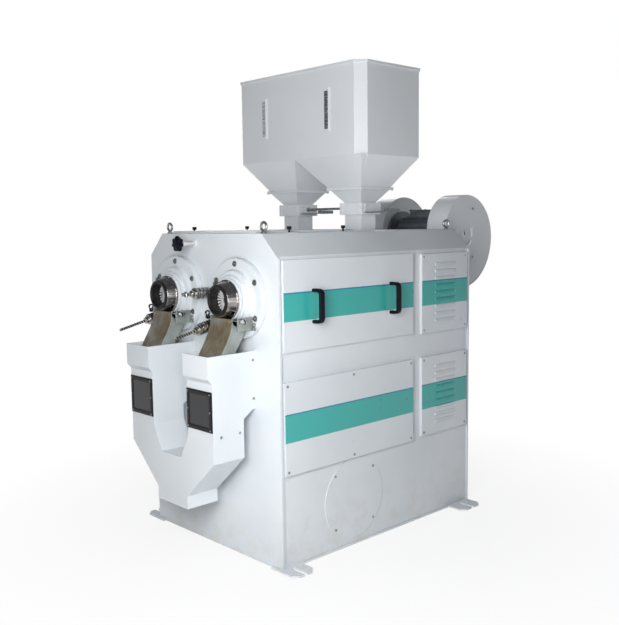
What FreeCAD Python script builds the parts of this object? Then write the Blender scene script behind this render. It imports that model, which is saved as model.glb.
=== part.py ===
import FreeCAD, Part
import math
import os
import Sketcher
from FreeCAD import Rotation, Vector

# Driving sizes in millimetres. Y runs from the discharge end to the fans, Z is up,
# and the origin lies on the floor in the middle of the body.
sizes = {
    # welded body
    "body_width": 920,
    "body_depth": 1280,
    "body_height": 1400,
    "body_chamfer": 101,
    "shell_wall": 4,
    "shell_inset": 8,
    "front_thick": 12,
    "rear_thick": 8,
    "foot_thick": 8,
    "base_flange": 70,
    "base_leg": 6,
    "base_leg_height": 44,
    "lug_reach": 95,
    "lug_inside": 60,
    "front_lug_width": 120,
    "front_lug_lead": 15,
    "rear_lug_width": 150,
    "rear_lug_end": 10,
    "slot_width": 20,
    "slot_start": 12,
    "lug_corner": 26,
    "fit": 0.3,
    "running_fit": 0.05,
    # side doors, screwed panels and covers
    "panel_depth": 14,
    "panel_skin": 2,
    "panel_margin": 24,
    "door_lead": 20,
    "door_length": 813,
    "door_low": 915,
    "door_height": 378,
    "lower_low": 400,
    "lower_height": 392,
    "louvre_lead": 898,
    "louvre_length": 356,
    "louvre_low": 907,
    "louvre_height": 380,
    "lower_louvre_low": 408,
    "lower_louvre_height": 384,
    "vent_length": 46,
    "vent_gap": 6,
    "vent_pitch": 34,
    "vent_count": 9,
    "vent_offset": 128,
    "vent_spacing": 100,
    "round_cover_radius": 185,
    "round_cover_lead": 438,
    "round_cover_height": 213,
    "round_cover_thick": 3,
    "screw_radius": 5,
    "screw_head": 3,
    "handle_width": 26,
    "handle_thick": 14,
    "handle_corner": 12,
    "handle_reach": 46,
    "handle_span": 131,
    "handle_height": 1097,
    "handle_front_lead": 191,
    "handle_rear_lead": 676,
    # top cover and lifting eyes
    "cover_half_width": 300,
    "cover_lead": 18,
    "cover_length": 590,
    "cover_depth": 10,
    "cover_skin": 2,
    "hatch_margin": 34,
    "ear_reach": 62,
    "ear_width": 44,
    "knob_across": 340,
    "knob_front_lead": 170,
    "knob_rear_lead": 495,
    "knob_radius": 10,
    "knob_height": 14,
    "knob_stem": 4,
    "knob_stem_height": 12,
    "eye_radius": 17,
    "eye_wire": 5.5,
    "eye_across": 340,
    "eye_front_lead": 30,
    "eye_rear_lead": 1245,
    "eye_collar": 12,
    "eye_collar_height": 8,
    # feed hopper, necks and slide gates
    "bin_width": 864,
    "bin_depth": 437,
    "bin_low": 1740,
    "bin_top": 2148,
    "bin_corner": 42,
    "bin_wall": 3,
    "bin_rim": 6,
    "bin_rim_height": 10,
    "feed_y": 97,
    "funnel_end": 205,
    "funnel_corner": 10,
    "funnel_low": 1597,
    "joint_lip": 10,
    "joint_thick": 5,
    "neck_width": 105,
    "neck_depth": 100,
    "small_funnel_low": 1532,
    "gate_box_width": 146,
    "gate_box_depth": 130,
    "gate_box_low": 1476,
    "gate_level": 1485,
    "gate_thick": 4,
    "gate_width": 104,
    "gate_length": 150,
    "gate_lip": 16,
    "gate_slack": 0.5,
    "tie_radius": 6,
    "tie_height": 1508,
    "sight_width": 32,
    "sight_low": 1865,
    "sight_length": 170,
    "sight_lip": 8,
    "sight_lip_thick": 4,
    # milling units
    "unit_x": 218,
    "unit_height": 1127,
    "flange_radius": 172,
    "flange_thick": 30,
    "step_one_radius": 120,
    "step_one": 18,
    "step_two_radius": 100,
    "step_two": 14,
    "flange_bore": 86,
    "bolt_circle": 148,
    "bolt_radius": 9,
    "bolt_height": 9,
    "cone_flange_radius": 92,
    "cone_flange": 12,
    "cone_radius": 80,
    "cone_end_radius": 62,
    "cone_length": 54,
    "cone_wall": 8,
    "cone_mouth_half": 46,
    "cone_mouth_length": 33,
    "ring_radius": 59.5,
    "ring_bore": 48,
    "ring_length": 22,
    "cap_radius": 46,
    "cap_length": 10,
    "cap_depth": 6,
    "cap_tooth": 7,
    "shaft_radius": 30,
    "shaft_bore": 15,
    "shaft_rear": 600,
    "roller_radius": 68,
    "roller_rib": 6,
    "roller_rib_width": 14,
    "roller_front": 60,
    "screen_radius": 80,
    "screen_wall": 4,
    "screen_ring": 108,
    "screen_ring_length": 14,
    "screen_bar": 16,
    "housing_front_lead": 660,
    "housing_length": 150,
    "housing_half": 88,
    "housing_top": 98,
    "housing_bore": 72,
    "flight_root": 38,
    "flight_thick": 8,
    "flight_width": 26,
    "flight_blades": 10,
    "flight_turns": 2,
    "wall_lead": 865,
    "wall_thick": 16,
    "wall_low": 860,
    "bearing_radius": 62,
    "bearing_flange_half": 80,
    "bearing_flange": 16,
    "bearing_rear": 70,
    "pulley_lead": 985,
    "pulley_width": 78,
    "pulley_radius": 125,
    "belt_edge": 6,
    "belt_thick": 12,
    "belt_slack": 0.4,
    # pressure gate, spouts and weights
    "spout_half": 78,
    "spout_wall": 3,
    "pivot_forward": 98,
    "pivot_height": 1048,
    "pivot_radius": 5.5,
    "lever_offset": 106,
    "lever_drop": 30,
    "lever_back": 33,
    "lever_slope": 13,
    "lever_length": 204,
    "lever_rod": 6,
    "lever_thick": 10,
    "lever_boss": 7,
    "lever_arm": 12,
    "lever_ring": 10,
    "lever_ring_wire": 3,
    "flap_half": 44,
    "flap_reach": 34,
    "flap_slope": 13,
    "flap_thick": 3,
    "bracket_offset": 108,
    "bracket_thick": 6,
    "pivot_end": 150,
    "nut_radius": 11,
    "nut_length": 11,
    "weight_gap": 15,
    "disc_radius": 25,
    "disc_thick": 17,
    "disc_groove": 3,
    "disc_count": 4,
    "light_disc_count": 2,
    "collar_radius": 15,
    "collar_length": 14,
    "peg_height": 1141,
    "peg_radius": 8,
    "peg_length": 146,
    "peg_flange_radius": 22,
    "peg_flange": 8,
    # collecting hopper
    "leg_outer": 304,
    "leg_inner": 130,
    "hopper_top": 913,
    "hopper_reach": 226,
    "hood_reach": 245,
    "hood_low": 820,
    "hood_slope": 20,
    "waist_height": 470,
    "throat_half": 110,
    "throat_height": 295,
    "throat_low": 238,
    "notch_height": 570,
    "notch_low": 457,
    "notch_half": 71,
    "back_reach": 67,
    "back_height": 667,
    "back_slope": 34,
    "back_step": 19,
    "hopper_wall": 3,
    "window_low": 600,
    "window_height": 168,
    "window_inset": 1,
    "window_width": 172,
    "window_frame": 20,
    "window_thick": 6,
    "glass_thick": 4,
    # bran hopper and motors
    "bran_top": 850,
    "bran_low": 340,
    "bran_front_lead": 20,
    "bran_rear_lead": 850,
    "bran_neck_half": 150,
    "bran_neck_depth": 180,
    "bran_wall": 3,
    "duct_radius": 150,
    "motor_height": 188,
    "motor_radius": 120,
    "motor_front_lead": 610,
    "motor_length": 340,
    "motor_bell": 112,
    "motor_bell_length": 40,
    "motor_foot_half": 105,
    "motor_foot": 12,
    "motor_foot_width": 50,
    "rail_width": 60,
    "rail_wall": 6,
    "motor_shaft": 19,
    "motor_pulley_radius": 80,
    # fans
    "fan_y": 840,
    "fan_height": 1375,
    "scroll_radius": 182,
    "scroll_step": 44,
    "fan_width": 124,
    "fan_wall": 3,
    "fan_mouth_top": 145,
    "inlet_radius": 84,
    "impeller_radius": 134,
    "impeller_disc": 4,
    "impeller_hub": 32,
    "blade_length": 64,
    "blade_thick": 4,
    "blade_height": 70,
    "blade_count": 8,
    "fan_shaft": 12,
    "fan_motor_radius": 84,
    "fan_motor_length": 250,
    "fan_motor_flange": 124,
    "fan_motor_flange_thick": 14,
    "fin_height": 10,
    "fin_thick": 4,
    "fin_count": 16,
    "shelf_drop": 128,
    "shelf_length": 330,
    "shelf_half": 125,
    "shelf_thick": 8,
    "gusset_height": 150,
    "gusset_length": 250,
    "air_box_depth": 70,
    "air_box_half": 75,
    "air_box_low": 1070,
    "air_box_top": 1240,
    # star knob
    "star_x": 100,
    "star_height": 1356,
    "star_forward": 80,
    "star_radius": 27,
    "star_lobe": 9,
    "star_lobes": 7,
    "star_thick": 28,
    "spindle_radius": 8,
    "spindle_inside": 60,
}

doc = FreeCAD.newDocument("RiceWhiteningMachine")
sheet = doc.addObject("Spreadsheet::Sheet", "Sizes")
nodes = []


class Size:
    # A number together with the cell expression that gives it.
    def __init__(self, value, text):
        self.value = value
        self.text = text

    def mix(self, other, sign, result):
        return Size(result, "(" + self.text + " " + sign + " " + as_size(other).text + ")")

    def __add__(self, other):
        return self.mix(other, "+", self.value + as_size(other).value)

    def __radd__(self, other):
        return as_size(other) + self

    def __sub__(self, other):
        return self.mix(other, "-", self.value - as_size(other).value)

    def __rsub__(self, other):
        return as_size(other) - self

    def __mul__(self, other):
        return self.mix(other, "*", self.value * as_size(other).value)

    def __rmul__(self, other):
        return as_size(other) * self

    def __truediv__(self, other):
        return self.mix(other, "/", self.value / as_size(other).value)

    def __rtruediv__(self, other):
        return as_size(other) / self

    def __neg__(self):
        return Size(-self.value, "(-1 * " + self.text + ")")


def as_size(amount):
    if isinstance(amount, Size):
        return amount
    return Size(float(amount), repr(float(amount)))


def root(amount):
    return Size(math.sqrt(amount.value), "sqrt(" + amount.text + ")")


def cosine(angle):
    return Size(math.cos(math.radians(angle.value)), "cos(" + angle.text + ")")


def sine(angle):
    return Size(math.sin(math.radians(angle.value)), "sin(" + angle.text + ")")


class Dimensions:
    # Every named size of the sheet, as an attribute.
    def __getattr__(self, name):
        return Size(float(sizes[name]), "Sizes." + name)


d = Dimensions()


def fill_sheet():
    for row, (name, value) in enumerate(sizes.items(), start=1):
        sheet.set("A" + str(row), name)
        sheet.set("B" + str(row), str(value))
        sheet.setAlias("B" + str(row), name)
    doc.recompute()


fill_sheet()
half_width = d.body_width / 2
skin_x = half_width - d.shell_inset
half_depth = d.body_depth / 2
front_y = -half_depth
rear_y = half_depth
inner_front = front_y + d.front_thick
inner_rear = rear_y - d.rear_thick
turns = {"X": Rotation(Vector(0, 1, 0), 90), "Y": Rotation(Vector(1, 0, 0), -90), "Z": Rotation()}


def bind(item, prop, amount):
    amount = as_size(amount)
    item.setExpression(prop, amount.text)


def place(item, x=0, y=0, z=0):
    for axis, amount in (("x", x), ("y", y), ("z", z)):
        bind(item, "Placement.Base." + axis, amount)
    return item


def tilt(item, axis, angle):
    item.Placement.Rotation = Rotation(axis, angle.value)
    bind(item, "Placement.Rotation.Angle", angle)
    return item


def block(low, high):
    item = doc.addObject("Part::Box", "Block")
    for prop, index in (("Length", 0), ("Width", 1), ("Height", 2)):
        bind(item, prop, as_size(high[index]) - as_size(low[index]))
    return place(item, *low)


def rod(radius, start, length, axis):
    item = doc.addObject("Part::Cylinder", "Rod")
    bind(item, "Radius", radius)
    bind(item, "Height", length)
    item.Placement.Rotation = turns[axis]
    return place(item, *start)


def bar(sides, radius, start, length, axis):
    # Straight bar with flat sides; the radius reaches its corners.
    item = doc.addObject("Part::Prism", "Bar")
    item.Polygon = sides
    bind(item, "Circumradius", radius)
    bind(item, "Height", length)
    item.Placement.Rotation = turns[axis]
    return place(item, *start)


def hexagon(radius, start, length, axis):
    return bar(6, radius, start, length, axis)


def frustum(low, low_z, high, high_z, angle=0, x=0, y=0):
    # Straight-sided block between two rectangles, each given as its corners, at two levels.
    item = doc.addObject("Part::Wedge", "Frustum")
    (a, b), (c, e) = low
    (p, q), (r, t) = high
    values = {"Xmin": a, "Xmax": c, "Zmin": -as_size(e), "Zmax": -as_size(b), "X2min": p, "X2max": r,
              "Z2min": -as_size(t), "Z2max": -as_size(q), "Ymin": low_z, "Ymax": high_z}
    for prop, amount in values.items():
        setattr(item, prop, as_size(amount).value)
    for prop, amount in values.items():
        bind(item, prop, amount)
    item.Placement.Rotation = Rotation(Vector(0, 0, 1), angle) * Rotation(Vector(1, 0, 0), 90)
    return place(item, x, y, 0)


def common(parts):
    item = doc.addObject("Part::MultiCommon", "Common")
    item.Shapes = parts
    return item


def fuse(parts):
    if len(parts) == 1:
        return parts[0]
    item = doc.addObject("Part::MultiFuse", "Fuse")
    item.Shapes = parts
    return item


def cut(base, tools):
    item = doc.addObject("Part::Cut", "Cut")
    item.Base = base
    item.Tool = fuse(tools)
    return item


def group(parts):
    item = doc.addObject("Part::Compound", "Group")
    item.Links = parts
    return item


def node(item, name):
    item.Label = name
    nodes.append(item)
    return item


def corner(x, y, radius=None, centre=None, ccw=True):
    # A profile corner. With a radius and centre, an arc leads to it.
    return {"x": as_size(x), "y": as_size(y), "radius": radius, "centre": centre, "ccw": ccw}


def arc_edge(first, last):
    cx = as_size(last["centre"][0]).value
    cy = as_size(last["centre"][1]).value
    circle = Part.Circle(Vector(cx, cy, 0), Vector(0, 0, 1), as_size(last["radius"]).value)
    ends = (first, last) if last["ccw"] else (last, first)
    angles = [math.atan2(end["y"].value - cy, end["x"].value - cx) for end in ends]
    if angles[1] < angles[0]:
        angles[1] += 2 * math.pi
    return Part.ArcOfCircle(circle, angles[0], angles[1])


def add_loop(sketch, loop):
    start = sketch.GeometryCount
    count = len(loop)
    ends = []
    for index, first in enumerate(loop):
        last = loop[(index + 1) % count]
        if last["radius"] is None:
            a = Vector(first["x"].value, first["y"].value, 0)
            b = Vector(last["x"].value, last["y"].value, 0)
            sketch.addGeometry(Part.LineSegment(a, b), False)
        else:
            sketch.addGeometry(arc_edge(first, last), False)
        ends.append((1, 2) if last["radius"] is None or last["ccw"] else (2, 1))
    for index, first in enumerate(loop):
        after = (index + 1) % count
        edge = start + index
        sketch.addConstraint(Sketcher.Constraint("Coincident", edge, ends[index][1],
                                                 start + after, ends[after][0]))
        for kind, amount in (("DistanceX", first["x"]), ("DistanceY", first["y"])):
            rule = Sketcher.Constraint(kind, -1, 1, edge, ends[index][0], amount.value)
            number = sketch.addConstraint(rule)
            sketch.setExpression("Constraints[" + str(number) + "]", amount.text)
        if loop[after]["radius"] is not None:
            across = abs(first["x"].value - loop[after]["x"].value)
            level = across > abs(first["y"].value - loop[after]["y"].value)
            amount = as_size(loop[after]["centre"][1 if level else 0])
            kind = "DistanceY" if level else "DistanceX"
            number = sketch.addConstraint(Sketcher.Constraint(kind, -1, 1, edge, 3, amount.value))
            sketch.setExpression("Constraints[" + str(number) + "]", amount.text)


def add_circle(sketch, x, y, radius):
    x, y, radius = as_size(x), as_size(y), as_size(radius)
    circle = Part.Circle(Vector(x.value, y.value, 0), Vector(0, 0, 1), radius.value)
    edge = sketch.addGeometry(circle, False)
    rules = (Sketcher.Constraint("DistanceX", -1, 1, edge, 3, x.value),
             Sketcher.Constraint("DistanceY", -1, 1, edge, 3, y.value),
             Sketcher.Constraint("Radius", edge, radius.value))
    for rule, amount in zip(rules, (x, y, radius)):
        number = sketch.addConstraint(rule)
        sketch.setExpression("Constraints[" + str(number) + "]", amount.text)


def draw(sketch, loops):
    for loop in loops:
        if loop[0] == "circle":
            add_circle(sketch, *loop[1:])
        else:
            add_loop(sketch, [item if isinstance(item, dict) else corner(*item) for item in loop])


def sketch_in(body, plane, loops):
    sketch = body.newObject("Sketcher::SketchObject", "Profile")
    face = [item for item in body.Origin.OriginFeatures if item.Role == plane + "_Plane"][0]
    sketch.AttachmentSupport = [(face, "")]
    sketch.MapMode = "FlatFace"
    draw(sketch, loops)
    return sketch


def plate(plane, loops, thick, x=0, y=0, z=0):
    # A profile padded evenly to both sides of its plane.
    body = doc.addObject("PartDesign::Body", "Plate")
    pad = body.newObject("PartDesign::Pad", "Pad")
    pad.Profile = sketch_in(body, plane, loops)
    pad.SideType = "Symmetric"
    bind(pad, "Length", thick)
    body.Tip = pad
    return place(body, x, y, z)


def turned(loops, axis, x=0, y=0, z=0):
    # A profile turned once round X, Y or Z through the body's own origin.
    body = doc.addObject("PartDesign::Body", "Turned")
    spin = body.newObject("PartDesign::Revolution", "Revolution")
    sketch = sketch_in(body, "XZ" if axis == "Z" else "XY", loops)
    spin.Profile = sketch
    spin.ReferenceAxis = (sketch, ["H_Axis" if axis == "X" else "V_Axis"])
    spin.Angle = 360
    body.Tip = spin
    return place(body, x, y, z)


def ring_profile(radii_and_ends, bore):
    # Stepped outline from pairs of radius and length, run along the axis from zero.
    points = []
    reach = as_size(0)
    for radius, length in radii_and_ends:
        points.append((radius, reach))
        reach = reach + length
        points.append((radius, reach))
    return [(bore, 0)] + points + [(bore, reach)]


def rectangle(low, high):
    return [(low[0], low[1]), (high[0], low[1]), (high[0], high[1]), (low[0], high[1])]


def chamfered(low, high, size):
    return [(low[0] + size, low[1]), (high[0] - size, low[1]), (high[0], low[1] + size),
            (high[0], high[1] - size), (high[0] - size, high[1]), (low[0] + size, high[1]),
            (low[0], high[1] - size), (low[0], low[1] + size)]


def inset(points, amounts):
    # Moves each edge of an anticlockwise outline inwards by its own amount.
    points = [(as_size(x), as_size(y)) for x, y in points]
    count = len(points)
    normals = []
    for index in range(count):
        a = points[index]
        b = points[(index + 1) % count]
        across = b[0] - a[0]
        along = b[1] - a[1]
        length = root(across * across + along * along)
        normals.append((-along / length, across / length))
    moved = []
    for index in range(count):
        n1, n2 = normals[index - 1], normals[index]
        a1, a2 = as_size(amounts[index - 1]), as_size(amounts[index])
        dot = n1[0] * n2[0] + n1[1] * n2[1]
        one = (a1 - a2 * dot) / (1 - dot * dot)
        two = (a2 - a1 * dot) / (1 - dot * dot)
        moved.append((points[index][0] + one * n1[0] + two * n2[0],
                      points[index][1] + one * n1[1] + two * n2[1]))
    return moved


def end_outline(half=half_width, low=d.foot_thick):
    # The slopes stay in one plane when the sides move in.
    top = d.body_height
    flat = half_width - d.body_chamfer
    shoulder = top - (half - flat)
    return [(-half, low), (half, low), (half, shoulder), (flat, top), (-flat, top), (-half, shoulder)]


def lug(side, low_y, high_y):
    outer = half_width + d.lug_reach
    middle = (low_y + high_y) / 2
    slot = d.slot_width / 2
    edge = half_width + d.slot_start
    points = [(half_width - d.lug_inside, low_y), (outer - d.lug_corner, low_y),
              (outer, low_y + d.lug_corner), (outer, middle - slot),
              corner(edge + slot, middle - slot),
              corner(edge + slot, middle + slot, slot, (edge + slot, middle), False),
              corner(outer, middle + slot), (outer, high_y - d.lug_corner),
              (outer - d.lug_corner, high_y), (half_width - d.lug_inside, high_y)]
    body = plate("XY", [points], d.foot_thick, 0, 0, d.foot_thick / 2)
    if side < 0:
        body.Placement.Rotation = Rotation(Vector(0, 1, 0), 180)
    return body


def motor_rail(lead):
    # Channel rail on the base flange, open to the front, under the feet of both motors.
    low = d.foot_thick
    top = d.motor_height - d.motor_radius - d.motor_foot
    wall = d.rail_wall
    points = [(0, low), (d.rail_width, low), (d.rail_width, top), (0, top), (0, top - wall),
              (d.rail_width - wall, top - wall), (d.rail_width - wall, low + wall), (0, low + wall)]
    length = 2 * (skin_x - d.shell_wall - d.base_leg)
    return plate("YZ", [points], length, 0, front_y + lead, 0)


def foot_leads():
    first = d.motor_front_lead + d.motor_bell_length
    last = d.motor_front_lead + d.motor_length - d.motor_bell_length - d.motor_foot_width
    return first, last


def make_base_frame():
    flange = d.base_flange
    outer = rectangle((-half_width, front_y), (half_width, rear_y))
    front_hole = rectangle((flange - half_width, front_y + flange), (half_width - flange, -flange / 2))
    rear_hole = rectangle((flange - half_width, flange / 2), (half_width - flange, rear_y - flange))
    ring = plate("XY", [outer, front_hole, rear_hole], d.foot_thick, 0, 0, d.foot_thick / 2)
    wide = skin_x - d.shell_wall
    high = d.base_leg_height
    leg = d.base_leg
    low, top = d.foot_thick, d.foot_thick + high
    parts = [ring]
    parts.append(cut(block((-wide, inner_front, low), (wide, inner_rear, top)),
                     [block((leg - wide, inner_front + leg, low - 1), (wide - leg, inner_rear - leg, top + 1))]))
    shift = (d.motor_foot_width - d.rail_width) / 2
    parts += [motor_rail(lead + shift) for lead in foot_leads()]
    front_low = front_y - d.front_lug_lead
    rear_high = rear_y - d.rear_lug_end
    for side in (1, -1):
        parts.append(lug(side, front_low, front_low + d.front_lug_width))
        parts.append(lug(side, rear_high - d.rear_lug_width, rear_high))
    node(fuse(parts), "base_frame")


def side_opening(lead, length, low, height):
    margin = d.panel_margin
    start = front_y + lead
    return block((-half_width, start + margin, low + margin),
                 (half_width, start + length - margin, low + height - margin))


def neck_tool(gap):
    parts = []
    for side in (-1, 1):
        wide = d.neck_width / 2 + gap
        deep = d.neck_depth / 2 + gap
        middle = side * d.unit_x
        parts.append(block((middle - wide, d.feed_y - deep, d.body_height - d.body_chamfer),
                           (middle + wide, d.feed_y + deep, d.body_height + 1)))
    return parts


def make_shell():
    wall = d.shell_wall
    outer = end_outline(skin_x)
    inner = inset(outer, [-1, wall, wall, wall, wall, wall])
    length = d.body_depth - d.front_thick - d.rear_thick
    middle = (inner_front + inner_rear) / 2
    skin = cut(plate("XZ", [outer], length, 0, middle), [plate("XZ", [inner], length + 2, 0, middle)])
    tools = [side_opening(d.door_lead, d.door_length, d.door_low, d.door_height),
             side_opening(d.door_lead, d.door_length, d.lower_low, d.lower_height),
             side_opening(d.louvre_lead, d.louvre_length, d.louvre_low, d.louvre_height),
             side_opening(d.louvre_lead, d.louvre_length, d.lower_louvre_low, d.lower_louvre_height)]
    tools.append(rod(d.duct_radius - d.bran_wall,
                     (-half_width, front_y + d.round_cover_lead, d.round_cover_height),
                     d.body_width, "X"))
    margin = d.hatch_margin
    start = front_y + d.cover_lead
    tools.append(block((margin - d.cover_half_width, start + margin, d.body_height - d.body_chamfer),
                       (d.cover_half_width - margin, start + d.cover_length - margin, d.body_height + 1)))
    tools += neck_tool(d.fit)
    body = cut(skin, tools)
    edge = half_width - d.body_chamfer
    roof = block((-edge, inner_front, d.body_height - wall), (edge, inner_rear, d.body_height + 1))
    node(common([body, roof]), "roof_panel")
    node(cut(body, [roof]), "cabinet_shell")


def make_front_plate():
    loops = [end_outline()]
    for side in (-1, 1):
        loops.append(("circle", side * d.unit_x, d.unit_height, d.flange_bore))
    loops.append(("circle", -d.star_x, d.star_height, d.spindle_radius + d.running_fit))
    node(plate("XZ", loops, d.front_thick, 0, front_y + d.front_thick / 2), "front_plate")


def duct_bounds():
    wide = d.fan_width / 2 - d.fan_wall
    low = d.fan_height - (d.scroll_radius + 2.5 * d.scroll_step) + d.fan_wall
    top = d.fan_height - d.fan_mouth_top - d.fan_wall
    return wide, low, top


def make_rear_plate():
    wide, low, top = duct_bounds()
    loops = [end_outline()]
    for side in (-1, 1):
        middle = side * d.unit_x
        loops.append(rectangle((middle - wide, low), (middle + wide, top)))
    parts = [plate("XZ", loops, d.rear_thick, 0, rear_y - d.rear_thick / 2)]
    wall = d.fan_wall
    half = d.air_box_half
    start = inner_rear - d.air_box_depth
    for side in (-1, 1):
        middle = side * d.unit_x
        shell = block((middle - half, start, d.air_box_low), (middle + half, inner_rear, d.air_box_top))
        inside = block((middle - half + wall, start + wall, d.air_box_low + wall),
                       (middle + half - wall, inner_rear, d.air_box_top - wall))
        hole = rod(d.shaft_radius + d.fit, (middle, start - 1, d.unit_height), wall + 2, "Y")
        parts.append(cut(shell, [inside, hole]))
    node(fuse(parts), "rear_plate")


def make_bearing_wall():
    wall = d.shell_wall
    loops = [inset(end_outline(skin_x, d.wall_low), [0, wall, wall, wall, wall, wall])]
    for side in (-1, 1):
        loops.append(("circle", side * d.unit_x, d.unit_height, d.bearing_radius))
    node(plate("XZ", loops, d.wall_thick, 0, front_y + d.wall_lead + d.wall_thick / 2), "bearing_wall")


def tray(side, lead, length, low, height, gap=0):
    # Folded sheet panel, skin outwards, its rim against the body's side.
    start = front_y + lead
    outer = rectangle((start, low), (start + length, low + height))
    skin = d.panel_skin
    inner = rectangle((start + skin, low + skin), (start + length - skin, low + height - skin))
    middle = side * (skin_x + gap + d.panel_depth / 2)
    hollow = side * (skin_x + gap + d.panel_depth / 2 - skin)
    return cut(plate("YZ", [outer], d.panel_depth, middle), [plate("YZ", [inner], d.panel_depth, hollow)])


def vent_tools(side, lead, low, height):
    # Two columns of level slots, evenly spaced about the middle of the panel.
    body = doc.addObject("PartDesign::Body", "Vents")
    first = front_y + lead + d.vent_offset
    level = low + height / 2 - d.vent_pitch * (d.vent_count - 1) / 2
    loops = []
    for shift in (0, d.vent_spacing):
        middle = first + shift
        loops.append(rectangle((middle - d.vent_length / 2, level - d.vent_gap / 2),
                               (middle + d.vent_length / 2, level + d.vent_gap / 2)))
    body.AllowCompound = True
    pad = body.newObject("PartDesign::Pad", "Pad")
    sketch = sketch_in(body, "YZ", loops)
    pad.Profile = sketch
    pad.SideType = "Symmetric"
    bind(pad, "Length", d.panel_depth)
    rows = body.newObject("PartDesign::LinearPattern", "Rows")
    rows.Originals = [pad]
    rows.Direction = (sketch, ["V_Axis"])
    bind(rows, "Length", d.vent_pitch * (d.vent_count - 1))
    bind(rows, "Occurrences", d.vent_count)
    body.Tip = rows
    return place(body, side * (skin_x + d.panel_depth))


def make_panels(side, name):
    node(tray(side, d.door_lead, d.door_length, d.lower_low, d.lower_height), "lower_panel_" + name)
    upper = (d.louvre_lead, d.louvre_low, d.louvre_height)
    lower = (d.louvre_lead, d.lower_louvre_low, d.lower_louvre_height)
    panels = []
    for lead, low, height in (upper, lower):
        panels.append(cut(tray(side, lead, d.louvre_length, low, height),
                          [vent_tools(side, lead, low, height)]))
    node(group(panels), "louvre_panels_" + name)


def make_round_covers():
    parts = []
    y = front_y + d.round_cover_lead
    for side in (-1, 1):
        start = skin_x if side > 0 else -skin_x - d.round_cover_thick
        parts.append(rod(d.round_cover_radius, (start, y, d.round_cover_height), d.round_cover_thick, "X"))
    node(group(parts), "round_covers")


def handle(side, y):
    # Flat bar bent to a square bow, with its corners cut.
    thick, corner_cut = d.handle_thick, d.handle_corner
    face = skin_x + d.fit + d.panel_depth
    reach = d.handle_reach + thick / 2
    half = d.handle_span / 2 + thick / 2
    inner, level = reach - thick, half - thick
    upper = [(0, half), (reach - corner_cut, half), (reach, half - corner_cut)]
    under = [(inner, level - corner_cut / 2), (inner - corner_cut / 2, level), (0, level)]
    lower = [(x, -as_size(z)) for x, z in reversed(upper)]
    back = [(x, -as_size(z)) for x, z in reversed(under)]
    points = [(side * (face + x), d.handle_height + z) for x, z in upper + lower + back + under]
    return plate("XZ", [points], d.handle_width, 0, y)


def make_doors(side, name):
    node(tray(side, d.door_lead, d.door_length, d.door_low, d.door_height, d.fit), "door_" + name)
    grips = [handle(side, front_y + lead) for lead in (d.handle_front_lead, d.handle_rear_lead)]
    node(group(grips), "door_handles_" + name)


def make_top_cover():
    half = d.cover_half_width
    low = d.body_height + d.fit
    top = low + d.cover_depth
    start = front_y + d.cover_lead
    end = start + d.cover_length
    skin = d.cover_skin
    parts = [block((-half, start, low), (half, end, top))]
    ear = d.ear_width / 2
    for side in (-1, 1):
        for lead in (d.knob_front_lead, d.knob_rear_lead):
            y = front_y + lead
            first = half - 1 if side > 0 else -half - d.ear_reach
            last = half + d.ear_reach if side > 0 else 1 - half
            parts.append(block((first, y - ear, low), (last, y + ear, low + skin)))
    inside = block((skin - half, start + skin, low - 1), (half - skin, end - skin, top - skin))
    node(cut(fuse(parts), [inside]), "top_cover")
    knobs = []
    for side in (-1, 1):
        for lead in (d.knob_front_lead, d.knob_rear_lead):
            spot = (side * d.knob_across, front_y + lead)
            base = low + skin
            stem = bar(8, d.knob_stem, (spot[0], spot[1], base), d.knob_stem_height, "Z")
            head = bar(12, d.knob_radius, (spot[0], spot[1], base + d.knob_stem_height), d.knob_height, "Z")
            knobs.append(fuse([stem, head]))
    node(group(knobs), "cover_knobs")


def make_eyes():
    parts = []
    outer = d.eye_radius + d.eye_wire
    for side in (-1, 1):
        for lead in (d.eye_front_lead, d.eye_rear_lead):
            x, y = side * d.eye_across, front_y + lead
            level = d.body_height + d.eye_collar_height + outer - 2
            collar = bar(12, d.eye_collar, (x, y, d.body_height), d.eye_collar_height, "Z")
            start = (x, y - d.eye_wire, level)
            ring = cut(bar(16, outer, start, 2 * d.eye_wire, "Y"),
                       [bar(16, d.eye_radius - d.eye_wire, (x, y - d.eye_wire - 1, level), 2 * d.eye_wire + 2, "Y")])
            parts.append(fuse([collar, ring]))
    node(group(parts), "lifting_eyes")


def bin_outline(gap):
    wide = d.bin_width / 2 - gap
    deep = d.bin_depth / 2 - gap
    return chamfered((-wide, -deep), (wide, deep), d.bin_corner - gap * (2 - math.sqrt(2)))





def funnel(side, gap, low, top, seam):
    # Half of the bin narrows to one neck. Two diagonal planes cut the outer corners.
    wide = d.bin_width / 2 - gap
    deep = d.bin_depth / 2 - gap
    size = d.bin_corner - gap * (2 - math.sqrt(2))
    end = d.funnel_end / 2 - gap
    small = d.funnel_corner - gap * (2 - math.sqrt(2))
    inner, outer = d.unit_x - end, d.unit_x + end
    top_reach = (wide + deep - size) / math.sqrt(2)
    low_reach = (outer + end - small) / math.sqrt(2)
    far = -d.bin_width
    if side > 0:
        low_box, top_box = ((inner, -end), (outer, end)), ((seam, -deep), (wide, deep))
        low_cut = ((far, far), (low_reach, low_reach))
        top_cut = ((far, far), (top_reach, top_reach))
    else:
        low_box, top_box = ((-outer, -end), (-inner, end)), ((-wide, -deep), (-as_size(seam), deep))
        low_cut = ((-low_reach, -low_reach), (-far, -far))
        top_cut = ((-top_reach, -top_reach), (-far, -far))
    whole = frustum(low_box, low, top_box, top, 0, 0, d.feed_y)
    corners = frustum(low_cut, low, top_cut, top, 45, 0, d.feed_y)
    return common([whole, corners])


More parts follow.
